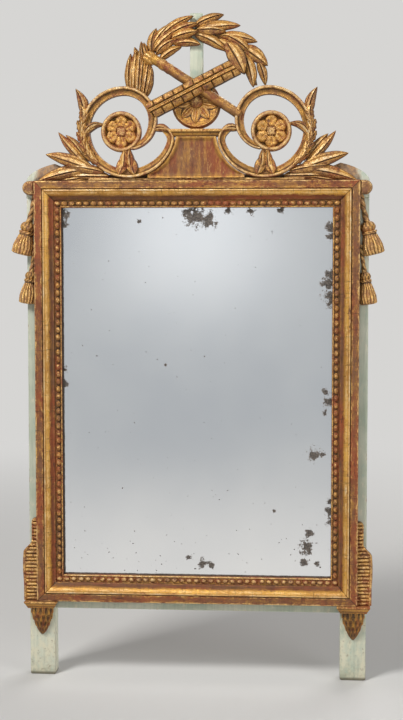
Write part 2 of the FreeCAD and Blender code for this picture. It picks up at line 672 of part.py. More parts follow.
def make_bracket():
    """A stepped bracket: a back with a rounded step and top, faced with level reeds."""
    bracket = new_body("right_reeded_bracket")
    wide, slim = "frame_half + bracket_wide - reed_lap", "frame_half + bracket_narrow - reed_lap"
    sweep = "bracket_wide - bracket_narrow"
    crown = "bracket_narrow - reed_lap"
    pad_loop(bracket, "XZ_Plane", (
        ("frame_half", "frame_floor"), (wide, "frame_floor"), (wide, "wide_top - (%s) / 2" % sweep, sweep, 1),
        (slim, "wide_top + (%s) / 2" % sweep), (slim, "narrow_top - (%s)" % crown, crown, 1),
        ("frame_half", "narrow_top")), "bracket_back")
    rows = (("floor((bracket_step - reed_pitch) / reed_pitch)", "frame_floor + reed_pitch / 2", "bracket_wide"),
            ("floor((bracket_tall - bracket_step - bracket_narrow) / reed_pitch)",
             "wide_top + reed_pitch", "bracket_narrow"))
    for count, start, reach in rows:
        reed = pad_loop(bracket, "YZ_Plane", (
            ("0", "-reed_radius"), ("0", "reed_radius"), ("-bracket_back", "reed_radius", "reed_radius", 1),
            ("-bracket_back - reed_radius", "0", "reed_radius", 1), ("-bracket_back", "-reed_radius")),
            reach, ("0", start, "frame_half"))
        repeat(bracket, reed, "LinearPattern", "Z_Axis", count, Length="(%s - 1) * reed_pitch" % count)
    return bracket


def make_corner_block():
    """A tapered block under the bracket and the frame's corner."""
    block = new_body("right_corner_block")
    inner, outer = "post_inner - block_over", "post_outer + block_over"
    pad_loop(block, "XZ_Plane", (
        (inner + " + block_in", "block_floor"), (outer + " - block_in", "block_floor"),
        (outer, "block_floor + block_height / 2"), (outer, "frame_floor"), (inner, "frame_floor"),
        (inner, "block_floor + block_height / 2")), "block_depth")
    return block


def make_leaf_drop():
    """A half-round bud that runs down to a point on the leg."""
    drop = new_body("right_leaf_drop", x="post_axis", z="block_floor")
    spin(drop, "XZ_Plane", (
        ("0", "0"), ("0", "-drop_height"), ("drop_tip", "-drop_height", "drop_curve", 1), ("drop_radius", "0")),
        "V_Axis", "180", reverse=True)
    return drop


upper_cord = make_cord("upper_cord", "upper_tassel_x", "upper_tassel_z - overrun",
                       "ear_floor - upper_tassel_z + overrun", "upper_cord_radius")
lower_cord = make_cord("lower_cord", "lower_tassel_x", "lower_tassel_z - overrun",
                       "lower_cord_rise + overrun", "lower_cord_radius")
upper_tassel = doc.addObject("Part::Fuse", "right_upper_tassel")
upper_tassel.Base = make_tassel("upper")
upper_tassel.Tool = upper_cord
lower_whole = doc.addObject("Part::Fuse", "lower_tassel_whole")
lower_whole.Base = make_tassel("lower")
lower_whole.Tool = lower_cord
finish("right_ear", make_ear())
finish("right_upper_tassel", upper_tassel)
finish("right_lower_tassel", pared("right_lower_tassel", lower_whole, upper_tassel))
finish("right_reeded_bracket", make_bracket())
finish("right_corner_block", make_corner_block())
finish("right_leaf_drop", make_leaf_drop())
for name in ("ear", "upper_tassel", "lower_tassel", "reeded_bracket", "corner_block", "leaf_drop"):
    mirrored("left_" + name, nodes["right_" + name])


# Pierced crest: base, plinth and scrolls
finish("crest_base", box("crest_base", "-base_reach", "mid_plane - base_depth", "frame_top", "2 * base_reach",
                         "base_depth", "base_rise"))


def scroll_section(radius, band):
    """The scroll's section: an outer fillet and a hollow face that dips to the inner edge."""
    return ((("0", radius), ("0", "%s - %s" % (radius, band)),
             ("scroll_dip - scroll_depth", "%s - %s" % (radius, band), "scroll_hollow", -1),
             ("-scroll_depth", radius + " - scroll_edge"), ("-scroll_depth", radius)))


def swapped(corners, sign=""):
    """The same outline with its two axes exchanged, for a sketch that lies flat."""
    turned = []
    for corner in reversed(corners):
        turned.append((sign + "(%s)" % corner[1], corner[0]))
    arcs = {k: corner for k, corner in enumerate(corners) if len(corner) > 2}
    last = len(corners) - 1
    for k, corner in arcs.items():
        turned[last - k - 1] += (corner[2], corner[3] if sign == "" else -corner[3])
    return tuple(turned)


def make_scroll():
    """The right scroll: arcs of one section, from the rosette over the top and down to a curl."""
    scroll = new_body("right_scroll_body")
    upper = scroll_section("scroll_inner", "scroll_band")
    spin(scroll, "YZ_Plane", upper, "H_Axis", "90", ("0", "inner_z", "outer_x"), reverse=True)
    volute = swapped(scroll_section("volute_radius", "scroll_band"), "-")
    spin(scroll, "XY_Plane", volute, "V_Axis", "volute_turn", ("volute_x", "0", "inner_z"), reverse=True)
    over = scroll_section("scroll_outer", "scroll_band")
    spin(scroll, "YZ_Plane", over, "H_Axis", "90", ("0", "lower_z", "outer_x"))
    low = swapped(scroll_section("scroll_lower", "scroll_band"))
    spin(scroll, "XY_Plane", low, "V_Axis", "180 - curl_start", ("lower_x", "0", "lower_z"))
    curl = swapped(scroll_section("curl_radius", "curl_band"), "-")
    bend = spin(scroll, "XY_Plane", curl, "V_Axis", "curl_turn", ("curl_x", "0", "curl_z"))
    bend.Type = "TwoAngles"
    bind(bend, "Angle2", "curl_start")
    cut_loop(scroll, "XZ_Plane",
             rectangle("0", "scroll_low - overrun", "scroll_reach", "base_top"), None, side="Symmetric")
    return scroll


def dome(half, rise):
    """The radius of an arc that rises by a given height over half its chord."""
    return "((%s) ^ 2 + %s ^ 2) / (2 * %s)" % (half, rise, rise)


def make_rosette():
    """A disc with a raised rim round a sunk floor."""
    disc = new_body("right_rosette", x="rosette_x", z="rosette_z")
    spin(disc, "XY_Plane", (
        ("0", "-rosette_back"), ("0", "-rosette_floor"),
        ("rosette_radius - rosette_rim_width", "-rosette_floor"),
        ("rosette_radius - rosette_rim_width * 0.7", "-rosette_rim"),
        ("rosette_radius - rosette_rim_width * 0.3", "-rosette_rim"),
        ("rosette_radius", "-rosette_floor"), ("rosette_radius", "-rosette_back")), "V_Axis", "360")
    return disc


def make_flower():
    """A boss with a ring of six rounded petals, seated on the rosette's floor."""
    flower = new_body("right_rosette_flower", x="rosette_x", z="rosette_z")
    spin(flower, "XY_Plane", (
        ("0", "-rosette_floor"),
        ("0", "-rosette_floor - flower_boss_rise", dome("flower_boss", "flower_boss_rise"), 1),
        ("flower_boss", "-rosette_floor")), "V_Axis", "360")
    sketch = new_sketch(flower, "XZ_Plane", ("0", "0", "rosette_floor"))
    add_circle(sketch, "0", "petal_ring", "petal_radius")
    petal = extrude(flower, "Pad", sketch, "petal_rise")
    bind(petal, "TaperAngle", "-petal_taper")
    repeat(flower, petal, "PolarPattern", "Y_Axis", "6", Angle="360")
    return flower


def make_husk():
    """A bell of leaves between the rosette and the low arc of the scroll."""
    husk = new_body("right_husk_body")
    high, low = "rosette_z - rosette_radius + overrun", "scroll_low + scroll_band - overrun"
    pad_loop(husk, "XZ_Plane", (
        ("husk_x - husk_wide / 2", low), ("husk_x + husk_wide / 2", low, "husk_curve", -1),
        ("husk_x + husk_top / 2", high), ("husk_x - husk_top / 2", high, "husk_curve", -1)),
        "husk_depth", ("0", "0", "husk_back"))
    return husk


def make_plinth():
    """The flared plinth, whose sides follow the scrolls' low arcs."""
    plinth = new_body("crest_plinth")
    foot = "lower_z - sqrt(side_radius ^ 2 - (lower_x - plinth_foot) ^ 2)"
    neck = "lower_x - sqrt(side_radius ^ 2 - (lower_z - cap_floor) ^ 2)"
    pad_loop(plinth, "XZ_Plane", (
        ("-plinth_foot", "base_top"), ("plinth_foot", "base_top"), ("plinth_foot", foot, "side_radius", -1),
        (neck, "cap_floor"), ("-(%s)" % neck, "cap_floor", "side_radius", -1), ("-plinth_foot", foot)),
        "plinth_depth")
    return plinth


def make_cap():
    """The plinth's cap, a hollow moulding under a square edge."""
    cap = new_body("plinth_cap_body")
    pad_loop(cap, "YZ_Plane", (
        ("0", "cap_floor"), ("0", "cap_top"), ("-cap_depth", "cap_top"),
        ("-cap_depth", "cap_top - cap_height / 3"),
        ("cap_neck / 2 - cap_depth", "cap_top - cap_height / 3", "cap_height", -1),
        ("cap_neck - cap_depth", "cap_floor")), "2 * cap_reach", side="Symmetric")
    return cap


def make_patera():
    """A rimmed disc with a boss and ten petals."""
    disc = new_body("patera", z="patera_z")
    floor = "patera_radius - patera_rim_width"
    spin(disc, "XY_Plane", (
        ("0", "0"), ("0", "-patera_boss_rise", dome("patera_boss", "(patera_boss_rise - patera_face)"), 1),
        ("patera_boss", "-patera_face"),
        (floor, "-patera_face"), (floor, "-patera_rim"), ("patera_radius", "-patera_rim"),
        ("patera_radius", "0")), "V_Axis", "360")
    root, tip = "patera_boss / 2", "(%s - patera_rim_width / 2)" % floor
    bow = dome("(%s - %s) / 2" % (tip, root), "(patera_petal_width / 2)")
    petal = pad_loop(disc, "XZ_Plane", (("0", root, bow, 1), ("0", tip, bow, 1)),
                     "patera_petal_rise - patera_face / 2", ("0", "0", "patera_face / 2"))
    repeat(disc, petal, "PolarPattern", "Y_Axis", "10", Angle="360")
    return disc


def make_quiver():
    """A long quiver with a flat back and a round face, laid across the torch."""
    quiver = new_body("quiver_body", z="cross_z", turn=-num("quiver_slope"))
    half, bow = "quiver_width / 2", "(crest_front - quiver_side)"
    pad_loop(quiver, "YZ_Plane", (
        ("-quiver_back", "-" + half), ("-quiver_back", half), ("-quiver_side", half, dome(half, bow), 1),
        ("-quiver_side", "-" + half)), "quiver_up + quiver_down", ("0", "0", "-quiver_down"))
    return quiver


def make_torch(label, radius):
    """A straight shaft that slopes down to the right."""
    torch = new_body(label, y="mid_plane - torch_axis", z="cross_z", turn=num("torch_slope"))
    sketch = new_sketch(torch, "YZ_Plane", ("0", "0", "-torch_up"))
    add_circle(sketch, "0", "0", radius)
    extrude(torch, "Pad", sketch, "torch_up + torch_down")
    return torch


# Leaves: a pointed oval between root and tip, with a ridge down its middle
def leaf(root, tip, width, rise):
    """One ridged leaf with a flat back on the posts' front plane."""
    front = Vec(0, -1, 0)
    run = tip - root
    along = Vec(run).normalize()
    across = along.cross(front)
    half, edge, spare = width / 2, num("leaf_edge"), num("overrun")
    middle = (root + tip) * 0.5
    sides = [Part.Arc(root, middle + across * half * sign, tip).toShape() for sign in (1, -1)]
    oval = Part.Face(Part.Wire(sides)).extrude(front * rise)
    low = edge - (rise - edge) * spare / half
    start = root - along * spare
    profile = [(-half - spare, 0), (half + spare, 0), (half + spare, low), (0, rise), (-half - spare, low)]
    corners = [start + across * side + front * height for side, height in profile]
    ridge = Part.Face(Part.makePolygon(corners + corners[:1])).extrude(run + along * spare * 2)
    return oval.common(ridge)


def place(x, z):
    """A point on the posts' front plane."""
    return Vec(x, num("mid_plane"), z)


def polar(x, z, radius, angle):
    """A point on the posts' front plane at an angle about a centre."""
    return place(x + radius * math.cos(math.radians(angle)), z + radius * math.sin(math.radians(angle)))


def carving(label, solids):
    """Solids carved from one piece of wood."""
    piece = doc.addObject("Part::Feature", label)
    piece.Shape = solids[0].multiFuse(solids[1:]).removeSplitter()
    return piece


def make_branch(label, leaves, ends):
    """Half of the laurel wreath: leaves along a curved stem."""
    radius, high, stem = num("wreath_radius"), num("wreath_z"), num("wreath_stem")
    width, rise = num("wreath_leaf_width"), num("wreath_leaf_rise")
    solids = []
    for angle, share, tip_angle, tip_share in leaves:
        solids.append(leaf(polar(0, high, radius * share, angle), polar(0, high, radius * tip_share, tip_angle),
                           width, rise))
    arcs = []
    for reach in (radius - stem / 2, radius + stem / 2):
        marks = [polar(0, high, reach, angle) for angle in (ends[0], sum(ends) / 2, ends[1])]
        arcs.append((marks, Part.Arc(*marks).toShape()))
    inner, outer = arcs
    wire = Part.Wire([inner[1], Part.makeLine(inner[0][2], outer[0][2]), outer[1],
                      Part.makeLine(outer[0][0], inner[0][0])])
    solids.append(Part.Face(wire).extrude(Vec(0, -num("wreath_stem_rise"), 0)))
    return carving(label, solids)


def make_spray():
    """A fan of leaves from one root outside the right scroll."""
    root = (num("spray_x"), num("spray_z"))
    solids = []
    for angle, share in SPRAY_LEAF_SHARES:
        start = polar(*root, -num("spray_leaf_width") / 3, angle)
        solids.append(leaf(start, polar(*root, num("spray_leaf") * share, angle),
                           num("spray_leaf_width"), num("spray_leaf_rise")))
    return carving("right_spray_whole", solids)


def make_scroll_leaf():
    """The leaves that wrap the scroll's outer arc, its flicked tip and the link to the rosette."""
    centre, radius = (num("outer_x"), num("lower_z")), num("scroll_outer")
    solids = []
    for angle, share, tip_angle, tip_share, width_share in SCROLL_LEAF_SHARES:
        solids.append(leaf(polar(*centre, radius * share, angle), polar(*centre, radius * tip_share, tip_angle),
                           num("scroll_leaf_width") * width_share, num("scroll_leaf_rise")))
    return carving("right_scroll_leaf_whole", solids)


def clear_of(name, x, z, radius):
    """A cylinder through the whole depth that keeps a neighbour off a round edge."""
    return rod(name, x, "mid_plane + overrun", z, radius + " + carve_gap", "crest_front + 2 * overrun",
               Vec(0, -1, 0))


seat = rod("rosette_seat", "rosette_x", "mid_plane + overrun", "rosette_z", "rosette_radius",
           "scroll_depth + 2 * overrun", Vec(0, -1, 0))
finish("right_scroll", pared("right_scroll", make_scroll(), seat))
mirrored("left_scroll", nodes["right_scroll"])
finish("right_rosette", make_rosette())
finish("right_rosette_flower", make_flower())
finish("right_husk", pared("right_husk", make_husk(), nodes["right_scroll"], seat))
finish("crest_plinth", make_plinth())
curl_clear = [clear_of("curl_clear", x, "curl_z", "curl_radius") for x in at_sides("curl_x")]
finish("plinth_cap", pared("plinth_cap", make_cap(), *curl_clear))
finish("patera", make_patera())
ring_clear = [clear_of("ring_clear", x, "inner_z", "scroll_inner") for x in at_sides("outer_x")]
finish("torch", pared("torch", make_torch("torch_body", "torch_radius"), ring_clear[0]))
sleeve = make_torch("torch_sleeve", "torch_radius + carve_gap")
finish("quiver", pared("quiver", make_quiver(), ring_clear[1], sleeve))
left_branch = make_branch("left_branch_whole", LEFT_LEAF_SHARES, (175, 95))
finish("wreath_left_branch", pared("wreath_left_branch", left_branch, nodes["left_scroll"], sleeve))
right_branch = make_branch("right_branch_whole", RIGHT_LEAF_SHARES, (88, 12))
finish("wreath_right_branch", pared("wreath_right_branch", right_branch, nodes["right_scroll"],
                                    nodes["quiver"], nodes["wreath_left_branch"]))
finish("right_leaf_spray", pared("right_leaf_spray", make_spray(), nodes["right_scroll"], nodes["crest_base"],
                                 nodes["frame_top_rail"]))
finish("right_scroll_leaf", pared("right_scroll_leaf", make_scroll_leaf(), nodes["right_scroll"], seat,
                                  nodes["right_leaf_spray"]))
for name in ("rosette", "rosette_flower", "husk", "leaf_spray", "scroll_leaf"):
    mirrored("left_" + name, nodes["right_" + name])


# Hanging hardware behind the top board
def make_hanger_plate():
    """A screwed plate with a barrel for the ring's pivot."""
    hanger = new_body("right_hanger_plate", x="hanger_x", z="bar_z")
    pad_loop(hanger, "XZ_Plane",
             rectangle("-hanger_wide / 2", "-hanger_tall / 2", "hanger_wide / 2", "hanger_tall / 2"),
             "hanger_thick", ("0", "0", "-back_rail_depth"), reverse=True)
    barrel = new_sketch(hanger, "YZ_Plane")
    add_circle(barrel, "bar_height", "0", "barrel_radius")
    extrude(hanger, "Pad", barrel, "barrel_long", side="Symmetric")
    cut_holes(hanger, "YZ_Plane", [("bar_height", "0", "pivot_radius + pivot_play")], None, side="Symmetric")
    cut_holes(hanger, "XZ_Plane", [(x, "0", "hanger_screw_radius + fit_gap") for x in at_sides("hanger_screw_x")],
              None, side="Symmetric")
    return hanger


def make_ring():
    """A flat ring on two arms from a pivot."""
    ring = new_body("right_hanging_ring", x="hanger_x", z="bar_z")
    sketch = new_sketch(ring, "XZ_Plane", ("0", "-ring_drop", "-bar_height"))
    add_circle(sketch, "0", "0", "ring_outer")
    add_circle(sketch, "0", "0", "ring_inner")
    extrude(ring, "Pad", sketch, "ring_thick", side="Symmetric")
    pivot = new_sketch(ring, "YZ_Plane")
    add_circle(pivot, "bar_height", "0", "pivot_radius")
    extrude(ring, "Pad", pivot, "pivot_long", side="Symmetric")
    foot = "sqrt(ring_outer ^ 2 - (arm_inner + arm_width) ^ 2) - ring_drop - ring_wall / 2"
    for near, far in (("arm_inner", "arm_inner + arm_width"), ("-arm_inner - arm_width", "-arm_inner")):
        pad_loop(ring, "XZ_Plane", rectangle(near, foot, far, "0"), "ring_thick", ("0", "0", "-bar_height"),
                 side="Symmetric")
    return ring


finish("right_hanger_plate", make_hanger_plate())
finish("right_hanging_ring", make_ring())
mirrored("left_hanger_plate", nodes["right_hanger_plate"])
mirrored("left_hanging_ring", nodes["right_hanging_ring"])
hanger_screws = []
for side in at_sides("hanger_x"):
    for edge in (" - ", " + "):
        x, back = side + edge + "hanger_screw_x", "mid_plane + back_rail_depth + hanger_thick"
        shank = rod("hanger_shank", x, back + " - hanger_thick - hanger_screw_long", "bar_z",
                    "hanger_screw_radius", "hanger_screw_long + hanger_thick + hanger_screw_head_thick / 2")
        head = rod("hanger_head", x, back, "bar_z", "hanger_screw_head", "hanger_screw_head_thick")
        screw = doc.addObject("Part::Fuse", "hanger_screw")
        screw.Base = shank
        screw.Tool = head
        hanger_screws.append(screw)
group("hanger_screws", hanger_screws)


# Build, check and write
doc.recompute()
faults = [item.Name for item in doc.Objects if {"Invalid", "Error"} & set(item.State)]
for label, piece in nodes.items():
    if piece.Shape.isNull() or not piece.Shape.isValid() or not piece.Shape.Solids:
        faults.append(label)
if faults:
    raise RuntimeError("failed pieces: " + ", ".join(faults))
os.makedirs("parts", exist_ok=True)
for label, piece in nodes.items():
    piece.Shape.exportStep("parts/%s.step" % label)
print(len(nodes), "pieces written")
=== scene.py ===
"""Carved wood mirror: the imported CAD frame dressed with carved, gilded and painted surfaces.

Every new surface is worked out in millimetres as (x, h, z), where h is the height in front of the
posts' front plane, and is put into the frame in metres by carve().
"""
import math

import bmesh
import bpy
import numpy as np
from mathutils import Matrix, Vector


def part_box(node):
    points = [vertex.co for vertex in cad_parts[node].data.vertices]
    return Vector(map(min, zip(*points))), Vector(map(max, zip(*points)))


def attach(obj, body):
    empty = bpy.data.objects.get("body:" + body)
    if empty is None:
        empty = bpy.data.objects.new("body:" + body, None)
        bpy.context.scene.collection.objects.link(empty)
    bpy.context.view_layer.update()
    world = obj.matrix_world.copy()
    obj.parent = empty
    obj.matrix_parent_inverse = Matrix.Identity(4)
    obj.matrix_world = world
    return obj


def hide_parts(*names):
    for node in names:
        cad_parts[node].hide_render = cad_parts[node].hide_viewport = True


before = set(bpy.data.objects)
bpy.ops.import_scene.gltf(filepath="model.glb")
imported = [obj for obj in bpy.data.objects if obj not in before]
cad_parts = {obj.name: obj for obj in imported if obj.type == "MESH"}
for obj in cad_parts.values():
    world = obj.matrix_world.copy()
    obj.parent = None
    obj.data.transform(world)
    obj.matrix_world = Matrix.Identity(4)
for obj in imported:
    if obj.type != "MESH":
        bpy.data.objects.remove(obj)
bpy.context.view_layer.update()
scene = bpy.context.scene

MM = 0.001
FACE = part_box("mirror_plate")[0].y
SIDES = (("left", -1), ("right", 1))
BARE = -2.0  # value of "gold" where the wood was left bare


def reach(node):
    """Lowest and highest corner of a node as (x, h, z) in millimetres."""
    low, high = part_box(node)
    return (np.array([low.x, FACE - high.y, low.z]) / MM,
            np.array([high.x, FACE - low.y, high.z]) / MM)


# Sizes read from the frame
FRAME_HALF = reach("frame_right_stile")[1][0]
FRAME_FLOOR = reach("frame_bottom_rail")[0][2]
FRAME_TOP = reach("frame_top_rail")[1][2]
SIGHT_HALF = reach("bead_slip_right")[0][0]
SIGHT_FLOOR = reach("bead_slip_bottom")[1][2]
SIGHT_TOP = reach("bead_slip_top")[0][2]
SLIP = 15.0  # width of the slip
PEARL_LINE, PEARL_PITCH = 6.9, 14.1  # pearls: in from the slip's outer edge, and apart


# Shapes
def unit(value):
    """A value kept between 0 and 1."""
    return np.clip(value, 0, 1)


def smooth(low, high, value):
    """Smooth step from 0 at low to 1 at high."""
    t = unit((value - low) / (high - low))
    return t * t * (3 - 2 * t)


def hump(value):
    """Half circle over -1 to 1, 0 outside."""
    return np.sqrt(unit(1 - value ** 2))


def bell(value, width):
    """Bell curve: 1 at 0, gone at about twice the width."""
    return np.exp(-(value / width) ** 2)


def round_turn(steps):
    """Angles once round a circle."""
    return np.linspace(0, 2 * np.pi, steps, endpoint=False)


def on_circle(circle, angle, share):
    """Point at an angle and a share of the radius; a circle starts with x, z and radius."""
    a, r = math.radians(angle), circle[2] * share
    return (circle[0] + r * math.cos(a), circle[1] + r * math.sin(a))


def waver(a, b=0.0, seed=0.0):
    """Slow unevenness of handwork, about -1 to 1: three sines of the two parameters."""
    return (np.sin(1.7 * a + 2.3 * b + 5.1 * seed) + np.sin(3.9 * a - 1.3 * b + 2.7 * seed)
            + np.sin(0.6 * a + 4.4 * b + 1.9 * seed)) / 3


def loft(x, h, z, relief_and_light=0.5, gold=0.6, ends=(True, True)):
    """Skin over rows of closed loops; an end that is closed runs to the middle of its loop."""
    skin = np.stack(np.broadcast_arrays(x, h, z, relief_and_light, gold), -1).astype(float)
    for closed, row in zip(ends, (0, -1)):
        if closed:
            pole = np.broadcast_to(skin[row].mean(0), skin[row].shape)[None]
            skin = np.concatenate([pole, skin] if row == 0 else [skin, pole])
    return skin


def beside(*parts):
    """Columns side by side; a single number or a single row is spread over all the rows."""
    parts = [part if np.ndim(part) == 2 else np.atleast_1d(part)[None] for part in parts]
    rows = max(len(part) for part in parts)
    return np.concatenate([np.broadcast_to(part, (rows, part.shape[1])) for part in parts], 1)


def backed(x, h, z, relief_and_light, gold, under=0):
    """Skin of a carved face whose rows close along a flat back of bare wood."""
    return loft(x, beside(h, under, under), z, beside(relief_and_light, 0, 0), beside(gold, BARE, BARE))


def put(name, data):
    """A new object in the scene."""
    made = bpy.data.objects.new(name, data)
    scene.collection.objects.link(made)
    return made


def on_side(skins, side):
    """The right side's skins, turned over the middle plane for the left side."""
    return [skin * np.array([side, 1, 1, 1, 1]) for skin in skins]


def carve(name, skins, finish, stands_for, body="frame", crease=42):
    """One piece from its skins: quads between neighbouring loops, doubles merged, faces outward."""
    points = np.concatenate([skin.reshape(-1, 5) for skin in skins])
    faces, first = [], 0
    for skin in skins:
        rows, cols = skin.shape[:2]
        r, c = np.meshgrid(np.arange(rows - 1), np.arange(cols), indexing="ij")
        n = (c + 1) % cols
        quad = np.stack([r * cols + c, r * cols + n, (r + 1) * cols + n, (r + 1) * cols + c], -1)
        faces.append(first + quad.reshape(-1, 4))
        first += rows * cols
    place = np.stack([points[:, 0] * MM, FACE - points[:, 1] * MM, points[:, 2] * MM], -1)
    mesh = bpy.data.meshes.new(name)
    mesh.from_pydata(place.tolist(), [], np.concatenate(faces).tolist())
    # relief_and_light: how raised each place is, for wear and dirt; in places it is set higher for
    # painted highlight and lower for painted shade
    for key, column in (("relief_and_light", 3), ("gold", 4)):
        values = mesh.attributes.new(key, "FLOAT", "POINT")
        values.data.foreach_set("value", points[:, column].astype(np.float32))
    shape = bmesh.new()
    shape.from_mesh(mesh)
    bmesh.ops.remove_doubles(shape, verts=shape.verts, dist=2e-6)
    bmesh.ops.recalc_face_normals(shape, faces=shape.faces)
    shape.to_mesh(mesh)
    shape.free()
    mesh.shade_smooth()
    mesh.set_sharp_from_angle(angle=math.radians(crease))
    mesh.materials.append(finish)
    piece = put(name, mesh)
    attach(piece, body)
    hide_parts(*stands_for)


# Finishes
class Tint:
    """A socket of a finish; arithmetic on it adds Math nodes."""

    def __init__(self, tree, socket):
        self.tree, self.socket = tree, socket

    def node(self, kind, settings, inputs, out=0):
        """Adds a node: settings, then values or links of its sockets; gives one output."""
        made = self.tree.nodes.new(kind)
        for key, value in settings.items():
            setattr(made, key, value)
        for key, value in inputs.items():
            if isinstance(value, Tint):
                self.tree.links.new(value.socket, made.inputs[key])
            else:
                made.inputs[key].default_value = value
        return Tint(self.tree, made.outputs[out])

    def math(self, operation, *values):
        return self.node("ShaderNodeMath", {"operation": operation}, dict(enumerate(values)))

    def __add__(self, other):
        return self.math("ADD", self, other)

    def __sub__(self, other):
        return self.math("SUBTRACT", self, other)

    def __rsub__(self, other):
        return self.math("SUBTRACT", other, self)

    def __mul__(self, other):
        return self.math("MULTIPLY", self, other)

    __radd__ = __add__

    def step(self, low, high):
        """Smooth step from 0 at low to 1 at high."""
        return self.node("ShaderNodeMapRange", {"interpolation_type": "SMOOTHSTEP"},
                         {"Value": self, "From Min": low, "From Max": high})

    def between(self, first, second):
        """Colour from first, where this value is 0, to second, where it is 1."""
        return self.node("ShaderNodeMix", {"data_type": "RGBA"}, {0: self, 6: first, 7: second}, 2)

    def noise(self, scale, detail=4.0, roughness=0.55):
        return self.node("ShaderNodeTexNoise", {},
                         {"Vector": self, "Scale": scale, "Detail": detail, "Roughness": roughness})

    def stretched(self, x, y, z):
        return self.node("ShaderNodeMapping", {}, {"Vector": self, "Scale": (x, y, z)})

    def attribute(self, name):
        return self.node("ShaderNodeAttribute", {"attribute_name": name}, {}, 2)

    def axis(self, number):
        """One of the three numbers of a place: 0 for x, 1 for y, 2 for z."""
        return self.node("ShaderNodeSeparateXYZ", {}, {"Vector": self}, number)

    def most(self, other):
        return self.math("MAXIMUM", self, other)

    def least(self, other):
        return self.math("MINIMUM", self, other)

    def size(self):
        return self.math("ABSOLUTE", self)

    def sway(self, amount):
        """A noise about 0 instead of 0.5, times an amount."""
        return (self - 0.5) * amount


def colour(red, green, blue):
    """Screen colour, 0 to 255, as the linear colour that a shader takes."""
    c = np.array([red, green, blue]) / 255
    return (*np.where(c <= 0.04045, c / 12.92, ((c + 0.055) / 1.055) ** 2.4).tolist(), 1.0)


def finish_of(name):
    """A new material, with its shader and its Object coordinates."""
    material = bpy.data.materials.new(name)
    material.use_nodes = True
    tree = material.node_tree
    place = Tint(tree, tree.nodes.new("ShaderNodeTexCoord").outputs["Object"])
    return material, tree.nodes["Principled BSDF"], place


def lay(shader, **values):
    """Sets the shader's sockets: a value stands on the socket itself, a Tint is linked."""
    for key, value in values.items():
        socket = shader.inputs[key.replace("_", " ")]
        if isinstance(value, Tint):
            value.tree.links.new(value.socket, socket)
        else:
            socket.default_value = value


def bump(place, height, depth):
    """Normal from a height that varies over the surface, depth in metres."""
    return place.node("ShaderNodeBump", {}, {"Strength": 1.0, "Distance": depth, "Height": height})


def washed(base, *washes):
    """A colour with others laid over it in turn: each has a mask, a share and a screen colour."""
    for mask, share, tone in washes:
        base = (mask * share).between(base, colour(*tone))
    return base


def worn_gilding(name, bole_share=0.0, grain=(1.0, 1.0, 1.0), faded=0.0, mottled=1.0, laps=None):
    """Water gilding over red bole: leaf on the rounds, bole where rubbed, dirt and painted shade in
    the hollows, pale rubbing and painted highlight on the crests.

    The noises are drawn out by grain; laps does the same for the laps of the leaf and the cracks.
    """
    material, shader, place = finish_of(name)
    relief_and_light, cover = place.attribute("relief_and_light"), place.attribute("gold")
    along = place.stretched(*grain)
    cloud, patch = along.noise(16.0, 3.0), along.noise(105.0, 5.0, 0.66)
    speck = along.noise(420.0, 4.0, 0.7)
    broken = patch.sway(1.5) + speck.sway(1.5) + place.noise(900.0, 3.0, 0.7).sway(0.8)
    gilt = (cover - bole_share + broken * mottled + cloud.sway(1.0)).step(0.10, 0.86)
    # High relief_and_light turns the gilding tan, rubbed and lit, and at its highest pale, a
    # painted highlight; low relief_and_light darkens it with dirt and painted shade.
    rubbed_and_lit = (relief_and_light + patch.sway(1.2) + speck.sway(1.0)).step(0.78, 1.15)
    dirt_and_shade = (1.0 - relief_and_light + speck.sway(0.6) + patch.sway(0.6) + cloud.sway(0.5)).step(0.40, 0.92)
    pale_rub_and_highlight = (relief_and_light + patch.sway(2.2) + cloud.sway(1.2)).step(1.22, 1.62)
    bole = cloud.step(0.35, 0.65).between(colour(147, 71, 32), colour(114, 61, 28))
    bole = washed(bole, (cloud.step(0.48, 0.62), 0.55, (126, 90, 62)),
                  (patch.step(0.40, 0.54), 0.2, (128, 92, 66)),
                  (patch.step(0.42, 0.28), 1.0, (84, 46, 22)),
                  (speck.step(0.48, 0.72), 0.7, (174, 104, 46)),
                  (patch.step(0.60, 0.76), 0.5, (168, 122, 82)))
    gold = cloud.step(0.35, 0.68).between(colour(223, 169, 76), colour(187, 134, 60))
    gold = washed(gold, (patch.step(0.5, 0.78), 1.0, (186, 120, 50)))
    if laps:
        lap = place.stretched(*laps).noise(38.0, 1.0)
        gold = washed(gold, (lap.step(0.50, 0.515), 0.24, (158, 104, 44)))
        bole = washed(bole, (lap.step(0.44, 0.42), 0.35, (92, 52, 28)))
    worn = patch.step(0.4, 0.6).between(colour(214, 170, 118), colour(232, 190, 120))
    base = (rubbed_and_lit * 0.82 + faded).between(gilt.between(bole, gold), worn)
    base = washed(base, (pale_rub_and_highlight, 0.75, (224, 204, 172)), (dirt_and_shade, 0.94, (44, 24, 9)))
    if laps:
        crack = (place.stretched(*laps).noise(120.0, 2.0) - 0.5).size()
        base = washed(base, (crack.step(0.010, 0.003), 0.55, (66, 38, 18)))
    fibre = place.stretched(0.08, 1.0, 1.0).noise(240.0, 4.0, 0.6)
    wood = fibre.step(0.38, 0.66).between(colour(140, 102, 66), colour(98, 68, 44))
    base = cover.step(-0.6, -1.1).between(base, wood)
    bright = gilt * (1.0 - dirt_and_shade)
    lay(shader, Base_Color=base, Metallic=bright * 0.55,
        Roughness=0.66 - bright * 0.29 + speck.sway(0.25))
    lay(shader, Normal=bump(place, patch * 0.6 + speck * 0.4, 0.002))
    return material


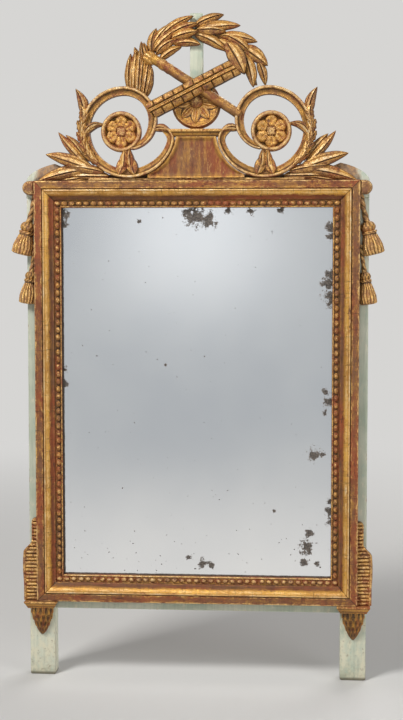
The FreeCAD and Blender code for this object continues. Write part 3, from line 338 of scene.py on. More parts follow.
def green_paint():
    """Old grey-green distemper: brushed along the wood, dirty low down, worn at the arrises.

    It has gone from the top rail's shoulders, where bare wood shows, with painted shadow next to
    the frame.
    """
    material, shader, place = finish_of("green_paint")
    relief_and_light, level, across = place.attribute("relief_and_light"), place.axis(2), place.axis(0).size()
    brush = place.stretched(1.0, 1.0, 0.06).noise(240.0, 4.0, 0.6)
    patch = place.stretched(1.0, 1.0, 0.5).noise(58.0, 6.0, 0.68)
    chip = place.noise(150.0, 5.0, 0.7)
    worn = (relief_and_light + patch.sway(2.0) + chip.sway(1.2)).step(1.05, 1.4)
    dirty = (1.0 - level * 7.0 + patch.sway(1.3) + chip.sway(1.6)).step(0.45, 1.3)
    leg, foot = level.step(0.15, 0.10), level.step(0.008, 0.003)
    bare = level.step(0.948, 0.956) * (0.318 - across + patch.sway(0.06)).step(0.0, 0.022)
    bare = bare * level.step(1.02, 0.99) * place.axis(1).step(FACE + 0.016, FACE + 0.006)
    mottle = place.noise(9.0, 4.0).step(0.36, 0.64)
    base = mottle.between(colour(184, 193, 170), colour(213, 214, 193))
    base = washed(base, (brush.step(0.42, 0.72), 0.3, (140, 152, 134)),
                  (patch.step(0.54, 0.68), 0.8, (224, 218, 194)),
                  (patch.step(0.44, 0.34), 0.45, (160, 182, 168)),
                  (worn, 0.8, (146, 112, 76)), (dirty, 0.42, (140, 124, 92)),
                  (leg * patch.step(0.43, 0.60), 0.7, (224, 219, 192)),
                  (leg * (chip + patch.sway(0.3)).step(0.60, 0.68), 0.55, (124, 108, 78)),
                  (foot, 0.75, (82, 72, 52)))
    wood = chip.step(0.4, 0.62).between(colour(120, 76, 44), colour(178, 126, 70))
    # The bare wood darkens next to the frame's top: painted shadow under the crest.
    base = washed((bare * 0.85).between(base, wood),
                  (bare * level.step(0.974, 0.962), 0.8, (58, 38, 24)))
    lay(shader, Base_Color=base, Roughness=0.62 + patch.sway(0.3))
    lay(shader, Normal=bump(place, brush * 0.5 + patch * 0.4 - worn * 0.3, 0.0008))
    return material


FOXING = (  # middle x, z and radius of the places where the silvering has lifted
    (255, 872, 15), (256, 855, 12), (254, 783, 15), (252, 765, 20), (253, 745, 20), (255, 729, 13),
    (248, 560, 10), (250, 540, 12), (246, 520, 8), (225, 440, 18), (242, 440, 8), (256, 350, 10),
    (256, 330, 13), (256, 310, 10), (218, 286, 12), (212, 258, 21), (208, 232, 12), (0, 893, 30),
    (22, 886, 22), (-16, 900, 16), (62, 904, 10), (104, 904, 12), (160, 905, 9), (-252, 898, 14),
    (-256, 878, 13), (-257, 600, 10), (-257, 572, 13), (12, 224, 14), (30, 221, 10), (-15, 236, 8),
    (232, 228, 8), (-110, 884, 6), (-60, 610, 4), (150, 330, 5))


def silvered_glass():
    """Old mirror plate: cloudy grey tin amalgam, dark foxing, left and bottom edges of worn
    silvering and painted shade.
    """
    material, shader, place = finish_of("silvered_glass")
    flake, grain = place.noise(95.0, 6.0, 0.7), place.noise(520.0, 3.0, 0.6)
    haze = place.noise(3.0, 3.0)
    level, near = place.axis(2), None
    for x, z, size in FOXING:
        away = place.node("ShaderNodeVectorMath", {"operation": "DISTANCE"},
                          {0: place, 1: (x * MM, FACE, z * MM)}, 1)
        near = (1.0 - away * (1.0 / (size * MM))).most(-1.4 if near is None else near)
    lifted = (near * 0.65 + flake * 1.95 + grain * 0.6).step(1.47, 1.61)
    speckle = (place.noise(170.0, 2.0, 0.5) + level.step(0.42, 0.2) * 0.035).step(0.745, 0.775)
    # The left and bottom edges are darkened: worn silvering and a painted shade of the slip's wall.
    to_edge = (place.axis(0) + SIGHT_HALF * MM).least(level - SIGHT_FLOOR * MM)
    foxing_and_edge_shade = lifted.most(speckle.most((to_edge - flake.sway(0.003)).step(0.0032, 0.0018)))
    base = haze.step(0.3, 0.7).between(colour(220, 222, 224), colour(230, 231, 231))
    base = foxing_and_edge_shade.between(base, grain.step(0.4, 0.6).between(colour(60, 54, 50), colour(118, 108, 98)))
    lay(shader, Base_Color=base, Metallic=1.0 - foxing_and_edge_shade * 0.85,
        Roughness=0.19 + haze.sway(0.06) + foxing_and_edge_shade * 0.4)
    return material


def raw_pine(name, shift, low, high):
    """Bare old pine: grain along the board, browned and dusty, dark where boards meet."""
    material, shader, place = finish_of(name)
    moved = place.node("ShaderNodeVectorMath", {"operation": "ADD"},
                       {0: place, 1: (shift, shift, shift * 2)})
    line = moved.stretched(0.05, 1.0, 1.0).noise(230.0, 5.0, 0.6)
    ring = moved.stretched(0.10, 1.0, 1.0).noise(34.0, 3.0, 0.5)
    level, cloud = place.axis(2), place.noise(11.0, 4.0)
    seam = (level - low).least(high - level).step(0.0045, 0.0005)
    base = ring.step(0.36, 0.66).between(colour(160, 118, 76), colour(128, 90, 56))
    base = washed(base, (line.step(0.48, 0.7), 0.65, (94, 64, 40)),
                  (cloud.step(0.5, 0.72), 0.4, (112, 96, 76)), (seam, 0.8, (44, 30, 20)))
    lay(shader, Base_Color=base, Roughness=0.78 + line.sway(0.2))
    lay(shader, Normal=bump(place, line * 0.6 + ring * 0.4, 0.0008))
    return material


def dark_iron():
    """Forged iron, brown-black with a little rust."""
    material, shader, place = finish_of("dark_iron")
    rust, hammer = place.noise(120.0, 6.0, 0.65), place.noise(60.0, 2.0)
    rusty = rust.step(0.52, 0.68)
    base = rusty.between(colour(62, 58, 55), colour(104, 66, 44))
    lay(shader, Base_Color=base, Metallic=0.85 - rusty * 0.7, Roughness=0.42 + rust * 0.3)
    lay(shader, Normal=bump(place, hammer * 0.6 + rust * 0.3, 0.0006))
    return material


GILT = worn_gilding("worn_gilding", faded=0.04)
GILT_STILE = worn_gilding("worn_gilding_stile", 0.04, (1.0, 1.0, 0.38), laps=(0.1, 0.1, 1.0))
GILT_RAIL = worn_gilding("worn_gilding_rail", 0.04, (0.38, 1.0, 1.0), laps=(1.0, 0.1, 0.1))
GILT_TRIM = worn_gilding("worn_gilding_trim", 0.04, faded=0.03)
GILT_FADED = worn_gilding("worn_gilding_faded", 0.1, faded=0.26)
GILT_PANEL = worn_gilding("worn_gilding_panel", 0.04, (1.0, 1.0, 0.3), mottled=0.4)
PAINT, GLASS, IRON = green_paint(), silvered_glass(), dark_iron()


# Gilt frame: mitred rails and the slips with the pearls
# Painted highlights: relief raised on the fillet's ridge, 17 to 19.5 in, and relief and gold on the
# ovolo's crest, 21.6 to 24.2 in; relief low in the quirk, 15.1 to 16.3 in, for dirt and painted
# shade.
RAIL_SECTION = np.array([  # distance in from the outer edge, height, relief and light, gold
    (0, 0, .2, .1), (0, 14, .35, .1), (0, 20.8, .6, .15), (.4, 21.7, .95, .3), (1.4, 22, 1.05, .35),
    (4, 21.9, .62, .2), (8, 21.7, .55, .14), (12, 21.9, .6, .22), (14.1, 22, .88, .35),
    (14.8, 21.5, .75, .4), (15.1, 20.2, .2, .5), (16.3, 19.9, .12, .5), (16.6, 22.4, .5, .7),
    (17.0, 23.6, 1.0, .8), (18.2, 24, 1.3, .8), (19.5, 23.8, 1.1, .8), (20.1, 23.1, .4, .7),
    (20.5, 22.9, .5, .9), (21.6, 22.7, .88, 1.2), (22.8, 22.4, 1, 1.3), (24.2, 21.7, .96, 1.25),
    (26.2, 20.2, .8, 1.0), (28.0, 18.1, .66, .62), (29.5, 15.7, .54, .24), (30.8, 13.7, .5, .12),
    (32.3, 12.1, .46, .08), (34.1, 11.1, .5, .06), (35.3, 10.7, .72, .25), (36, 10.1, .4, .3),
    (36, 0, 0, .2)])
# Relief and light falls to 0 down the slip's inner wall: a painted dark line for the shade between
# the slip and the glass.
SLIP_SECTION = np.array([  # the same columns
    (0, 0, 0, .2), (0, 8.4, .3, .15), (.6, 8.6, .6, .3), (1.6, 7.7, .4, .3), (7, 7.5, .26, .3),
    (11.2, 7.6, .3, .3), (11.8, 8.2, .15, .3), (12.2, 9.1, .7, .45), (12.8, 9.5, 1.0, .5),
    (13.6, 9.3, .85, .45), (14.4, 8.9, .7, .4), (14.8, 8.3, .3, .3), (15, 7.6, 0, .2),
    (15, 0, 0, .1)])
# Width of the flat outer band, and extra gold that paints the top rail's band lighter, as lit from
# above
BAND, TOP_BAND_GOLD = 15.0, 0.15
LOW_SLIP_RUB, LOW_PEARL_RUB = np.array([0, 0, .32, .1]), 0.25  # the bottom slip is rubbed more


def mitred(section, outer, half, low, high, edge, steps=90):
    """A section carried along one side of the frame, its ends cut on the mitre.

    The run at depth u goes from low + u to high - u; it wavers a little in height and depth.
    """
    u, h, relief_and_light, gold = section.T
    ends = np.array([0, .0008, .0022, .005])
    t = np.concatenate([ends, np.linspace(.01, .99, steps), 1 - ends[::-1]])[:, None]
    seed = {"left": 1, "right": 2, "top": 3, "bottom": 4}[edge]
    along = (low + u) + (high - low - 2 * u) * t
    top = h - np.where(h > 0, 0.35 + 0.3 * waver(along / 37, u / 9, seed), 0)
    inset = unit(0.2 * waver(along / 53, 0, seed + 9) + 0.2) * (u < 1)
    across = outer - np.sign(outer - half) * (u + inset)
    x, z = (across, along) if edge in ("left", "right") else (along, across)
    to_end = np.minimum(t, 1 - t) * (high - low)
    rub = (relief_and_light + 0.10 * waver(along / 23, u / 5, seed + 3)) * (1 - .85 * bell(to_end, .9))
    tone = gold + TOP_BAND_GOLD * (edge == "top") * (u < BAND)
    tone = tone + 0.20 * waver(along / 47, u / 8, seed) + 0.16 * waver(along / 9, u / 13, seed + 5)
    return loft(x, top, z, rub, tone)


def pearl(x, z, along_x, rub):
    """A carved pearl: half an oval dome on the slip's bed, long along the slip."""
    bed, rise, tip = 7.4, 4.9, 12.35
    a = round_turn(10)
    e = np.radians([0, 28, 56, 78])[:, None]
    long, wide = 6.6 * np.cos(e), 4.8 * np.cos(e)
    dx, dz = (long, wide) if along_x else (wide, long)
    relief_and_light = np.array([.16, .58, .82, .95])[:, None] * (.9 + rub + .14 * waver(x / 11, z / 13))
    skin = loft(x + dx * np.cos(a), bed + rise * np.sin(e), z + dz * np.sin(a), relief_and_light,
                0.36 - rub + .18 * waver(x / 17, z / 23, 2))
    skin[-1, :, 1], skin[0, :, 1] = tip, bed
    return skin


def pearls(low, high, fixed, along_x, rub=0.0):
    """A row of pearls at an even pitch near 14 mm between two corners."""
    at = np.linspace(low, high, int(round((high - low) / PEARL_PITCH)) + 1)
    return [pearl(*((p, fixed) if along_x else (fixed, p)), along_x, rub) for p in at]


def gilt_frame():
    """Four rails and four slips along the edges; the corner pearls belong to the level slips."""
    middle = (FRAME_FLOOR + FRAME_TOP) / 2
    inner, floor, top = SIGHT_HALF + SLIP, SIGHT_FLOOR - SLIP, SIGHT_TOP + SLIP
    row, first = inner - PEARL_LINE, PEARL_LINE + 14
    for edge, node, outer, slip_outer in (
            ("left", "left_stile", -FRAME_HALF, -inner),
            ("right", "right_stile", FRAME_HALF, inner),
            ("top", "top_rail", FRAME_TOP, top), ("bottom", "bottom_rail", FRAME_FLOOR, floor)):
        upright, lowest = edge in ("left", "right"), edge == "bottom"
        half, ends, slip_ends = middle, (-FRAME_HALF, FRAME_HALF), (-inner, inner)
        if upright:
            half, ends, slip_ends = 0, (FRAME_FLOOR, FRAME_TOP), (floor, top)
        rail = mitred(RAIL_SECTION, outer, half, *ends, edge)
        finish = GILT_STILE if upright else GILT_RAIL
        carve("frame_%s_moulding" % node, [rail], finish, ["frame_" + node], crease=35)
        section = SLIP_SECTION + LOW_SLIP_RUB * lowest
        skins = [mitred(section, slip_outer, half, *slip_ends, edge, 60)]
        if upright:
            skins += pearls(floor + first, top - first, math.copysign(row, outer), False)
        else:
            fixed = slip_outer + (PEARL_LINE if lowest else -PEARL_LINE)
            skins += pearls(-row, row, fixed, True, LOW_PEARL_RUB * lowest)
        carve("bead_slip_%s_pearls" % edge, skins, GILT_TRIM, ["bead_slip_" + edge], crease=38)


# Painted wood: posts, rails and the crest's upright
def bar(x, h, z, arris, steps, run):
    """A planed bar: a rectangle with rounded arrises carried along one axis, a little uneven.

    x, h, z are (low, high), run names the long axis, and arris is the corners' radius.
    """
    spans = {"x": x, "h": h, "z": z}
    first, second = [k for k in "xhz" if k != run]
    a = np.radians([180, 210, 240, 270, 270, 300, 330, 360, 0, 30, 60, 90, 90, 120, 150, 180])
    far_first = np.array([0] * 4 + [1] * 8 + [0] * 4, bool)
    far_second = np.array([0] * 8 + [1] * 8, bool)
    low, high = spans[run]
    s = np.concatenate([[low, low + 0.5 * arris], np.linspace(low + arris, high - arris, steps),
                        [high - 0.5 * arris, high]])[:, None]
    inset = np.concatenate([[1.0, 0.3], np.zeros(steps), [0.3, 1.0]])[:, None] * arris
    axes = {run: s}
    for axis, far, turn, wave, ripple, seed in ((first, far_first, np.cos(a), 83, 31, 0),
                                                (second, far_second, np.sin(a), 71, 27, 4)):
        corner = np.where(far, spans[axis][1] - arris, spans[axis][0] + arris) + arris * turn
        uneven = 0.25 + 0.25 * waver(s / wave, corner / ripple, seed)
        axes[axis] = corner - np.sign(corner - np.mean(spans[axis])) * (inset + uneven)
    edge = np.where(np.abs(np.cos(a) * np.sin(a)) > 0.2, 1.0, 0.62)
    return loft(axes["x"], axes["h"], axes["z"], edge, 0.0)


def top_rail():
    """The shaped top rail: sections along x; the upper edge rises to a shoulder at each end."""
    low, high = reach("back_top_rail")
    end, floor, depth = high[0], low[2], low[1]
    flat, peak = FRAME_TOP + 12, 994.0  # upper edge in the middle and at the shoulders
    fine, foot, shoulder = 215.0, 222.0, 272.0  # from the middle: finer steps, the rise's ends
    x = np.unique(np.concatenate([np.linspace(-end, end, 121), np.linspace(-end, -fine, 70),
                                  np.linspace(fine, end, 70)]))
    away = np.abs(x)
    sweep = unit((away - shoulder) / (end - shoulder))
    rise = flat + (peak - flat) * unit((away - foot) / (shoulder - foot))
    fall = FRAME_TOP + (peak - FRAME_TOP) * (0.35 * (1 - sweep) + 0.65 * hump(sweep))
    upper = np.where(away > shoulder, fall, rise)[:, None]
    ease, slight = 2.2, 0.66  # the arrises' rounding, and the part of it at their middle
    h = np.array([depth, depth, depth + slight, depth + ease, -ease, -slight, 0,
                  0, -slight, -ease, depth + ease, depth + slight])
    above = np.array([-ease, -slight - ease, -slight, 0, 0, -slight, -ease])
    below = np.array([ease, slight, 0, 0, slight])
    edge = np.array([.6, .9, 1, .8, .8, 1, .9, .8, 1, .7, .7, 1])
    return loft(x[:, None], h, beside(upper + above, floor + below), edge, 0.0)


def painted_wood():
    """Posts, rails and upright, each a planed bar where its CAD node is."""
    post_top = reach("back_top_rail")[0][2]
    for side, _ in SIDES:
        low, high = reach(side + "_post")
        post = bar((low[0], high[0]), (low[1], 0), (low[2], post_top), 2.4, 60, "z")
        carve(side + "_post_painted", [post], PAINT, [side + "_post"])
    carve("back_top_rail_painted", [top_rail()], PAINT, ["back_top_rail"], crease=50)
    low, high = reach("back_bottom_rail")
    post_in = reach("right_post")[0][0]
    rail = bar((-post_in, post_in), (low[1], high[1]), (low[2], high[2]), 2.0, 60, "x")
    carve("back_bottom_rail_painted", [rail], PAINT, ["back_bottom_rail"])
    low, high = reach("crest_post")
    upright = bar((low[0], high[0]), (low[1], high[1]), (FRAME_TOP + 5, high[2]), 1.8, 40, "z")
    carve("crest_post_painted", [upright], PAINT, ["crest_post"])


# Crest: scrolls
# Arcs: middle x, z, radius, first and last angle, the band's width, its change, from what share on
SCROLL = (
    (129, 1073.9, 56, 262, 180, 11, 6, 0), (137, 1073.9, 64, 180, 90, 17, 0, 0),
    (137, 1055.9, 82, 90, 0, 17, 0, 0), (128.5, 1055.9, 90.5, 0, -162.3, 17, -3, .7),
    (69, 1036.9, 28, -162.3, -282, 14, -4, .5))
# The outer roll's relief and light rises to 1.2 for a painted highlight, and drops to 0.1 in the
# dip under it for painted shade with dirt.
SCROLL_SECTION = np.array([  # share of the band from its outer edge, height, relief and light, gold
    (0, 0, 0, BARE), (0, 10, .3, .3), (0, 17, .55, .3), (.03, 20, .9, .3), (.10, 21.6, 1.12, .35),
    (.20, 22, 1.2, .4), (.30, 21.5, 1.0, .5), (.36, 20.2, .45, .5), (.40, 18.4, .1, .5),
    (.46, 17.2, .3, .55), (.54, 16.3, .42, .56), (.64, 15.6, .5, .56), (.74, 15.3, .5, .52),
    (.84, 15.5, .54, .45), (.92, 15.8, .9, .45),
    (.97, 15.2, 1.0, .4), (1, 13.8, .5, .4), (1, 7, .25, .3), (1, 0, 0, BARE)])


def scroll():
    """A hollow-faced band along five arcs, thinner at the inner end and in the small curl."""
    share, height, relief_and_light, gold = SCROLL_SECTION.T
    pitch, degrees, rows = 2.2, 57, []  # length of a step, degrees to a radian
    for n, (x, z, r, start, end, width, change, begin) in enumerate(SCROLL):
        steps = max(12, int(abs(end - start) * r / degrees / pitch))
        a = np.radians(np.linspace(start, end, steps, endpoint=n == len(SCROLL) - 1))
        band = width + change * smooth(begin, 1, np.linspace(0, 1, steps))
        rows.append(np.stack(np.broadcast_arrays(a, x, z, r, band), -1))
    a, x, z, radius, band = [column[:, None] for column in np.concatenate(rows).T]
    run = pitch * np.arange(1, len(a) + 1)[:, None]
    out = radius - share * band - np.where(share < .2, .2 + .2 * waver(run / 19, share, 3), 0)
    top = height - np.where(height > 12, 0.3 + 0.35 * waver(run / 21, share * 3, 5), 0)
    rub = relief_and_light + .12 * waver(run / 13, share * 4, 2)
    tone = gold + .28 * waver(run / 33, share * 2, 8)
    beak = leaf((80, 1057), (47, 1053), width=15, rise=7, seat=8, low=7, bow=-5, fold=.35,
                lift=(0, 2), gold=.5, seed=3, fullest=.4, floor=1.0)
    return [loft(x + out * np.cos(a), top, z + out * np.sin(a), rub, tone), beak]


# Crest: leaves
def leaf(root, tip, width, rise, seat=0.0, low=3.0, bow=0.0, fold=0.55, lift=(0.0, 0.0),
         gold=0.8, seed=0.0, fullest=0.45, teeth=0, floor=0.0):
    """A carved leaf from root to tip: two halves that fall from a ridge, with a cut beside it.
    The lower half is painted in shade, the upper half's ridge with a painted highlight.

    Half width goes as t^p (1-t)^0.8 with its fullest place where asked; the line bows sideways by a
    parabola; the height is a dome over the width, folded at a ridge that stands off the middle.
    """
    t = (1 - np.cos(np.linspace(0.12, np.pi - 0.05, 28)))[:, None] / 2
    even = np.linspace(-1, 1, 31)
    q = np.sin(even * np.pi / 2) * .5 + even * .5
    taper = 0.8
    half = t ** (taper * fullest / (1 - fullest)) * (1 - t) ** taper
    half = half / half.max() * width / 2 * (1 + 0.06 * waver(t * 5, q, seed))
    if teeth:
        notch = (t * teeth + 0.25 * np.sign(q)) % 1.0
        half = half * (1 - 0.26 * notch * smooth(.55, 1, np.abs(q)))
    root, line = np.array(root, float), np.subtract(tip, root).astype(float)
    normal = np.array([-line[1], line[0]]) / np.hypot(*line)

    def places(offset):
        offset = offset + bow * 4 * t * (1 - t)
        return [root[k] + line[k] * t + normal[k] * offset for k in (0, 1)]

    ridge = .16 * math.sin(seed * 2.4)
    lower = q < ridge
    side = np.where(lower, (ridge - q) / (1 + ridge), (q - ridge) / (1 - ridge))
    cut = bell(side - .14, .12) * lower + .55 * bell(side - .55, .07) * ~lower
    dome = (1 - fold) * (1 - q ** 4) * .8 + fold * (1 - side) - .30 * cut
    swell = np.sin(np.pi * t ** 0.8) ** 0.5
    edge = seat + low + lift[0] * (1 - t) + lift[1] * t
    front = edge + rise * dome * (0.25 + 0.75 * swell) + 0.3 * waver(t * 9, q * 3, seed + 1)
    # Painted light: darker at the edges and in the cut, painted shade; darker and less gold on the
    # lower half, painted shade; lighter along the upper half's ridge, painted highlight.
    leaf_light_and_shade = (1 - .85 * smooth(.82, 1, np.abs(q))) * (1 - .95 * cut)
    leaf_light_and_shade = leaf_light_and_shade * np.where(lower, .74, .8 + .32 * bell(side, .4))
    tone = gold + .25 * waver(t * 3, q, seed + 4) - .2 * smooth(.5, .9, np.abs(q)) - .22 * lower
    back = np.ones(5)
    under = np.linspace(1, -1, 5) * half[:, [-1, -1, 0, 0, 0]]
    x, z = [beside(*pair) for pair in zip(places(q * half), places(under))]
    relief_and_light = np.append(leaf_light_and_shade, 0 * back) * (0.8 + 0.3 * swell)
    return loft(x, beside(front, floor * back), z, relief_and_light, beside(tone, BARE * back))


WREATH = (0.0, 1131.0, 110.0)  # middle x, z and radius
BUNDLE = (  # the left branch's lowest leaves, side by side: root x, z, tip x, z, seat, width, bow
    (-127, 1128, -124, 1200, 0, 17, 2), (-98, 1116, -84, 1175, 0, 18, -1),
    (-124, 1126, -117, 1196, 2, 15, 1), (-101, 1116, -89, 1191, 2.5, 20, -1),
    (-119, 1124, -113, 1207, 4.5, 20, 1), (-107, 1117, -98, 1200, 5, 15, -1),
    (-112, 1119, -105, 1209, 6.5, 18, 0), (-100, 1172, -117, 1212, .5, 15, 1),
    (-94, 1178, -104, 1222, 2, 15, 1))
LEFT_BRANCH = (  # root's angle and share of the radius, the tip's, seat, width, bow
    (147, 1.0, 138, 1.21, 0, 15, 2), (141, .99, 123, 1.25, 1.5, 18, 4),
    (138, 1.05, 112, 1.20, 0, 18, 3), (142, .81, 109, .77, 0, 18, 5),
    (139, .92, 112, .92, 3, 18, 4), (138, .99, 110, 1.07, 5, 19, 3),
    (126, 1.09, 92, 1.25, 2, 18, 5), (122, .92, 96, .87, 1, 17, 4), (117, .88, 84, .77, 0, 19, 5),
    (120, 1.03, 88, 1.12, 4, 19, 4), (116, .97, 88, .98, 6, 20, 3))
RIGHT_BRANCH = (
    (92, 1.08, 69.5, 1.355, 0, 19, 3), (92, .95, 52, .83, 1, 23, 5),
    (90, 1.02, 55, 1.32, 2.5, 21, 3), (88, 1.0, 62, 1.10, 5, 20, 3), (66, .93, 40, .86, 2, 22, 4),
    (66, 1.0, 37.4, 1.32, 3, 21, 3), (60, 1.05, 34, 1.12, 6, 22, 3), (44, 1.06, 18, 1.29, 4, 27, 3),
    (26, 1.17, 3, 1.19, 2, 17, 2), (35, 1.03, 2, .98, 6, 22, 3), (56, .95, 17, .87, 17, 33, 3))


def ring_stem(start, end, radius, thick):
    """The branch's stem: a half-round rod along the wreath's circle."""
    a = np.radians(np.linspace(start, end, 50))[:, None]
    q = np.radians(np.linspace(180, 0, 9))[1:-1]
    out = beside(radius + thick * np.cos(q) + 1.2 * waver(a * 9, q), radius + thick, radius - thick)
    h = np.append(thick * 1.1 * np.sin(q) + 1.0, [.2, .2])
    gold = np.append(0 * q + .5, [BARE, BARE])
    return loft(WREATH[0] + out * np.cos(a), h, WREATH[1] + out * np.sin(a), .35, gold)


def knot():
    """Binding where the torch tucks under the branch: a ribbed half ball."""
    r = np.linspace(0, 1, 14)[:, None]
    a = round_turn(48)
    wrap = np.abs(np.sin(7 * r * np.cos(a - 1.0) + .6))
    out, dome = 13.5 * np.sin(r * np.pi / 2), np.cos(r * np.pi / 2)
    h = 9 + 14 * dome ** .8 - 1.8 * (1 - wrap) * dome
    h[0] = h[0].mean()
    x, z = on_circle(WREATH, 146, .965)
    face = loft(x + out * np.cos(a), h, z + out * np.sin(a), .35 + .65 * wrap, .95, (False, False))
    foot = loft(x + out[-1:] * np.cos(a), 0.3, z + out[-1:] * np.sin(a), 0, BARE, (False, True))
    return np.concatenate([face, foot])


def wreath():
    """Two laurel branches: overlapping leaves along the circle, each pointing up and round."""
    kind = dict(rise=8.4, low=4.5, fold=.62, lift=(-1.5, 1.8), gold=.66)
    for side, table, arc in (("left", LEFT_BRANCH, (184, 86)), ("right", RIGHT_BRANCH, (92, 4))):
        skins = [ring_stem(*arc, WREATH[2], thick=5.0)]
        lines = [(on_circle(WREATH, a0, s0), on_circle(WREATH, a1, s1), *rest)
                 for a0, s0, a1, s1, *rest in table]
        if side == "left":
            lines = [((x0, z0), (x1, z1), *rest) for x0, z0, x1, z1, *rest in BUNDLE] + lines
            skins.append(knot())
        for n, (root, tip, seat, width, bow) in enumerate(lines):
            skins.append(leaf(root, tip, width, seat=seat, bow=bow, seed=n + arc[0],
                              floor=.4 + .22 * n, **kind))
        carve("wreath_%s_laurel" % side, skins, GILT, ["wreath_%s_branch" % side])


SPRAY = (  # root x, z, tip x, z, width, seat, bow
    (208, 998, 249, 1048, 17, 2, 3), (186, 975, 262, 962, 17, 0, -3),
    (208, 992, 263, 1053, 18, 4, -2), (204, 986, 264, 962, 16, 2, 2),
    (166, 970, 240, 971, 21, 3, 0), (200, 984, 304, 960, 24, 4, 5), (176, 977, 250, 988, 19, 8, 2),
    (196, 982, 287, 1011, 26, 8, 3))


def leaf_spray():
    """Leaves fanned from the scroll's foot: two upright, one large, five along the rail."""
    kind = dict(rise=7.6, low=4, fold=.6, lift=(1.5, .5), gold=.56, fullest=.42)
    return [leaf((x0, z0), (x1, z1), width, seat=seat, bow=bow, seed=n, floor=.4 + .3 * n, **kind)
            for n, (x0, z0, x1, z1, width, seat, bow) in enumerate(SPRAY)]


def scroll_leaf():
    """Leafy stem up the scroll's outside: toothed leaves in pairs, a flicked tip, a hooked link."""
    def at(angle, share):
        return on_circle(SCROLL[2], angle, share)

    toothed = dict(rise=8, low=7, fold=.45, lift=(0, 3), fullest=.5, teeth=4)
    plain = dict(rise=4, seat=14, low=7, fold=.5, lift=(0, 1), gold=.6, fullest=.5)
    end = dict(width=20, low=9, bow=4, fold=.5, lift=(0, 2))
    link = dict(width=16, rise=8, seat=6, low=9, bow=-10, fold=.45, lift=(1, 1), gold=.5,
                fullest=.38)
    skins = []
    for n, a in enumerate((-56, -42, -28, -14, 0)):
        back, odd = .4 + .5 * n, n % 2
        skins += [
            leaf(at(a, .99), at(a + 26, 1.10), 20, seat=6 + odd, bow=4, gold=.6, seed=n,
                 floor=back, **toothed),
            leaf(at(a + 5, .97), at(a + 26, .89), 17, seat=8 + odd, bow=-4, gold=.65, seed=n + 7,
                 floor=back + .15, **toothed),
            leaf(at(a - 1, 1.0), at(a + 15, .99), 8, seed=n + 17, floor=back + .3, **plain)]
    return skins + [
        leaf(at(14, .99), at(30, 1.12), rise=7, seat=8, gold=.65, seed=15, fullest=.5, teeth=3,
             floor=3.0, **end),
        leaf(at(22, .98), at(40.6, 1.46), rise=9, seat=5, gold=.4, seed=21, fullest=.3,
             floor=3.2, **end),
        leaf(at(-10, .96), at(17, .44), seed=23, floor=3.4, **link)]


def husk():
    """Bell of leaves that hangs under the rosette, tips lapping the scroll's low arc."""
    x, top, low = 131.0, 1020.0, 971.0
    outer = dict(width=21, rise=6, seat=2, low=10, fold=.5, lift=(0, 9), gold=.6, fullest=.66)
    middle = dict(width=17, rise=5, seat=3, low=10, fold=.55, lift=(0, 3), gold=.5, fullest=.5)
    inner = dict(width=16, rise=7, seat=5, low=11, fold=.4, lift=(0, 4), gold=.62, fullest=.6)
    return [leaf((x - 3, top - 2), (x - 15, low + 1), bow=1, seed=1, floor=.4, **outer),
            leaf((x + 3, top - 2), (x + 15, low + 1), bow=-1, seed=2, floor=.6, **outer),
            leaf((x, top + 3), (x, low + 15), seed=3, floor=.8, **middle),
            leaf((x - 5, top + 2), (x - 8, low + 12), bow=1, seed=4, floor=1, **inner),
            leaf((x + 5, top + 2), (x + 8, low + 12), bow=-1, seed=5, floor=1.2, **inner)]


# Crest: turned and carved discs
def dish(x, z, radius, back, height, relief_and_light, gold):
    """A carved disc: a height over radius and angle, with its rim's side and a flat back."""
    cols = height.shape[1]
    angle = round_turn(cols)
    r = np.append(radius, radius[-1])[:, None]
    h, rel, tone = [np.concatenate([face, np.full((1, cols), under)])
                    for face, under in ((height, back), (relief_and_light, 0), (gold, BARE))]
    h[0], rel[0], tone[0] = h[0].mean(), rel[0].mean(), tone[0].mean()
    return loft(x + r * np.cos(angle), h, z + r * np.sin(angle), rel, tone, (False, True))


def rosette():
    """Rosette: a rolled rim round a sunk floor, six round petals round a square boss.

    A petal is an oval dome, a little hollow in its middle, with a crease along its middle line.
    """
    low, high = reach("right_rosette")
    x, z, rim = (low[0] + high[0]) / 2, (low[2] + high[2]) / 2, (high[0] - low[0]) / 2 - .1
    petals, petal_at, floor, boss_half = 6, 18.8, 8.0, 9.2
    roll_at, roll_half, roll_from = 34.3, 4.2, 30.4
    r = np.unique(np.concatenate([np.linspace(0, rim, 66),
                                  [rim - .25, rim - .8, 29.5, 30.3]]))[:, None]
    a = round_turn(216)
    off = ((a / (2 * np.pi) * petals) % 1 - .5) * 2 * np.pi / petals
    dx, dy = r * np.cos(off) - petal_at, r * np.sin(off)
    away = np.sqrt((dx / 12.4) ** 2 + (dy / np.where(dx > 0, 12.2, 10.2)) ** 2)
    crease = bell(dy, 1) * smooth(-9, -3, dx) * smooth(8, 2, dx)
    petal, hollow = hump(away) ** .6, bell(away, .5)
    flower = floor + petal * (8.4 - 2.4 * hollow - 1.3 * crease)
    square = r * (np.abs(np.cos(a)) ** 5 + np.abs(np.sin(a)) ** 5) ** .2
    boss = floor + 9.2 * smooth(9.0, 6.6, square) + .9 * hump(square / 7)
    roll = hump((r - roll_at) / roll_half)
    rim_h = np.where(r > roll_from + .1, 12 + 7.6 * roll, np.where(r > 29.6, 13.0, 0))
    h = np.maximum(np.maximum(flower, boss), rim_h) + .25 * waver(r / 3, a * 4, 3)
    # Relief and light drops in each petal's hollow, along its crease and between the petals: dirt
    # and painted shade.
    relief_and_light = .30 + .62 * petal * (1 - .45 * crease) * (1 - .28 * hollow)
    relief_and_light = np.where(square < boss_half, .15 + .8 * smooth(9.0, 7.4, square), relief_and_light)
    relief_and_light = np.where(r > roll_from, .35 + .8 * roll, relief_and_light)
    gold = np.where((r > roll_from) | (square < boss_half), .3, .6) + .25 * waver(r / 5, a * 3, 1)
    return [dish(x, z, r[:, 0], low[1], h, relief_and_light, gold)]


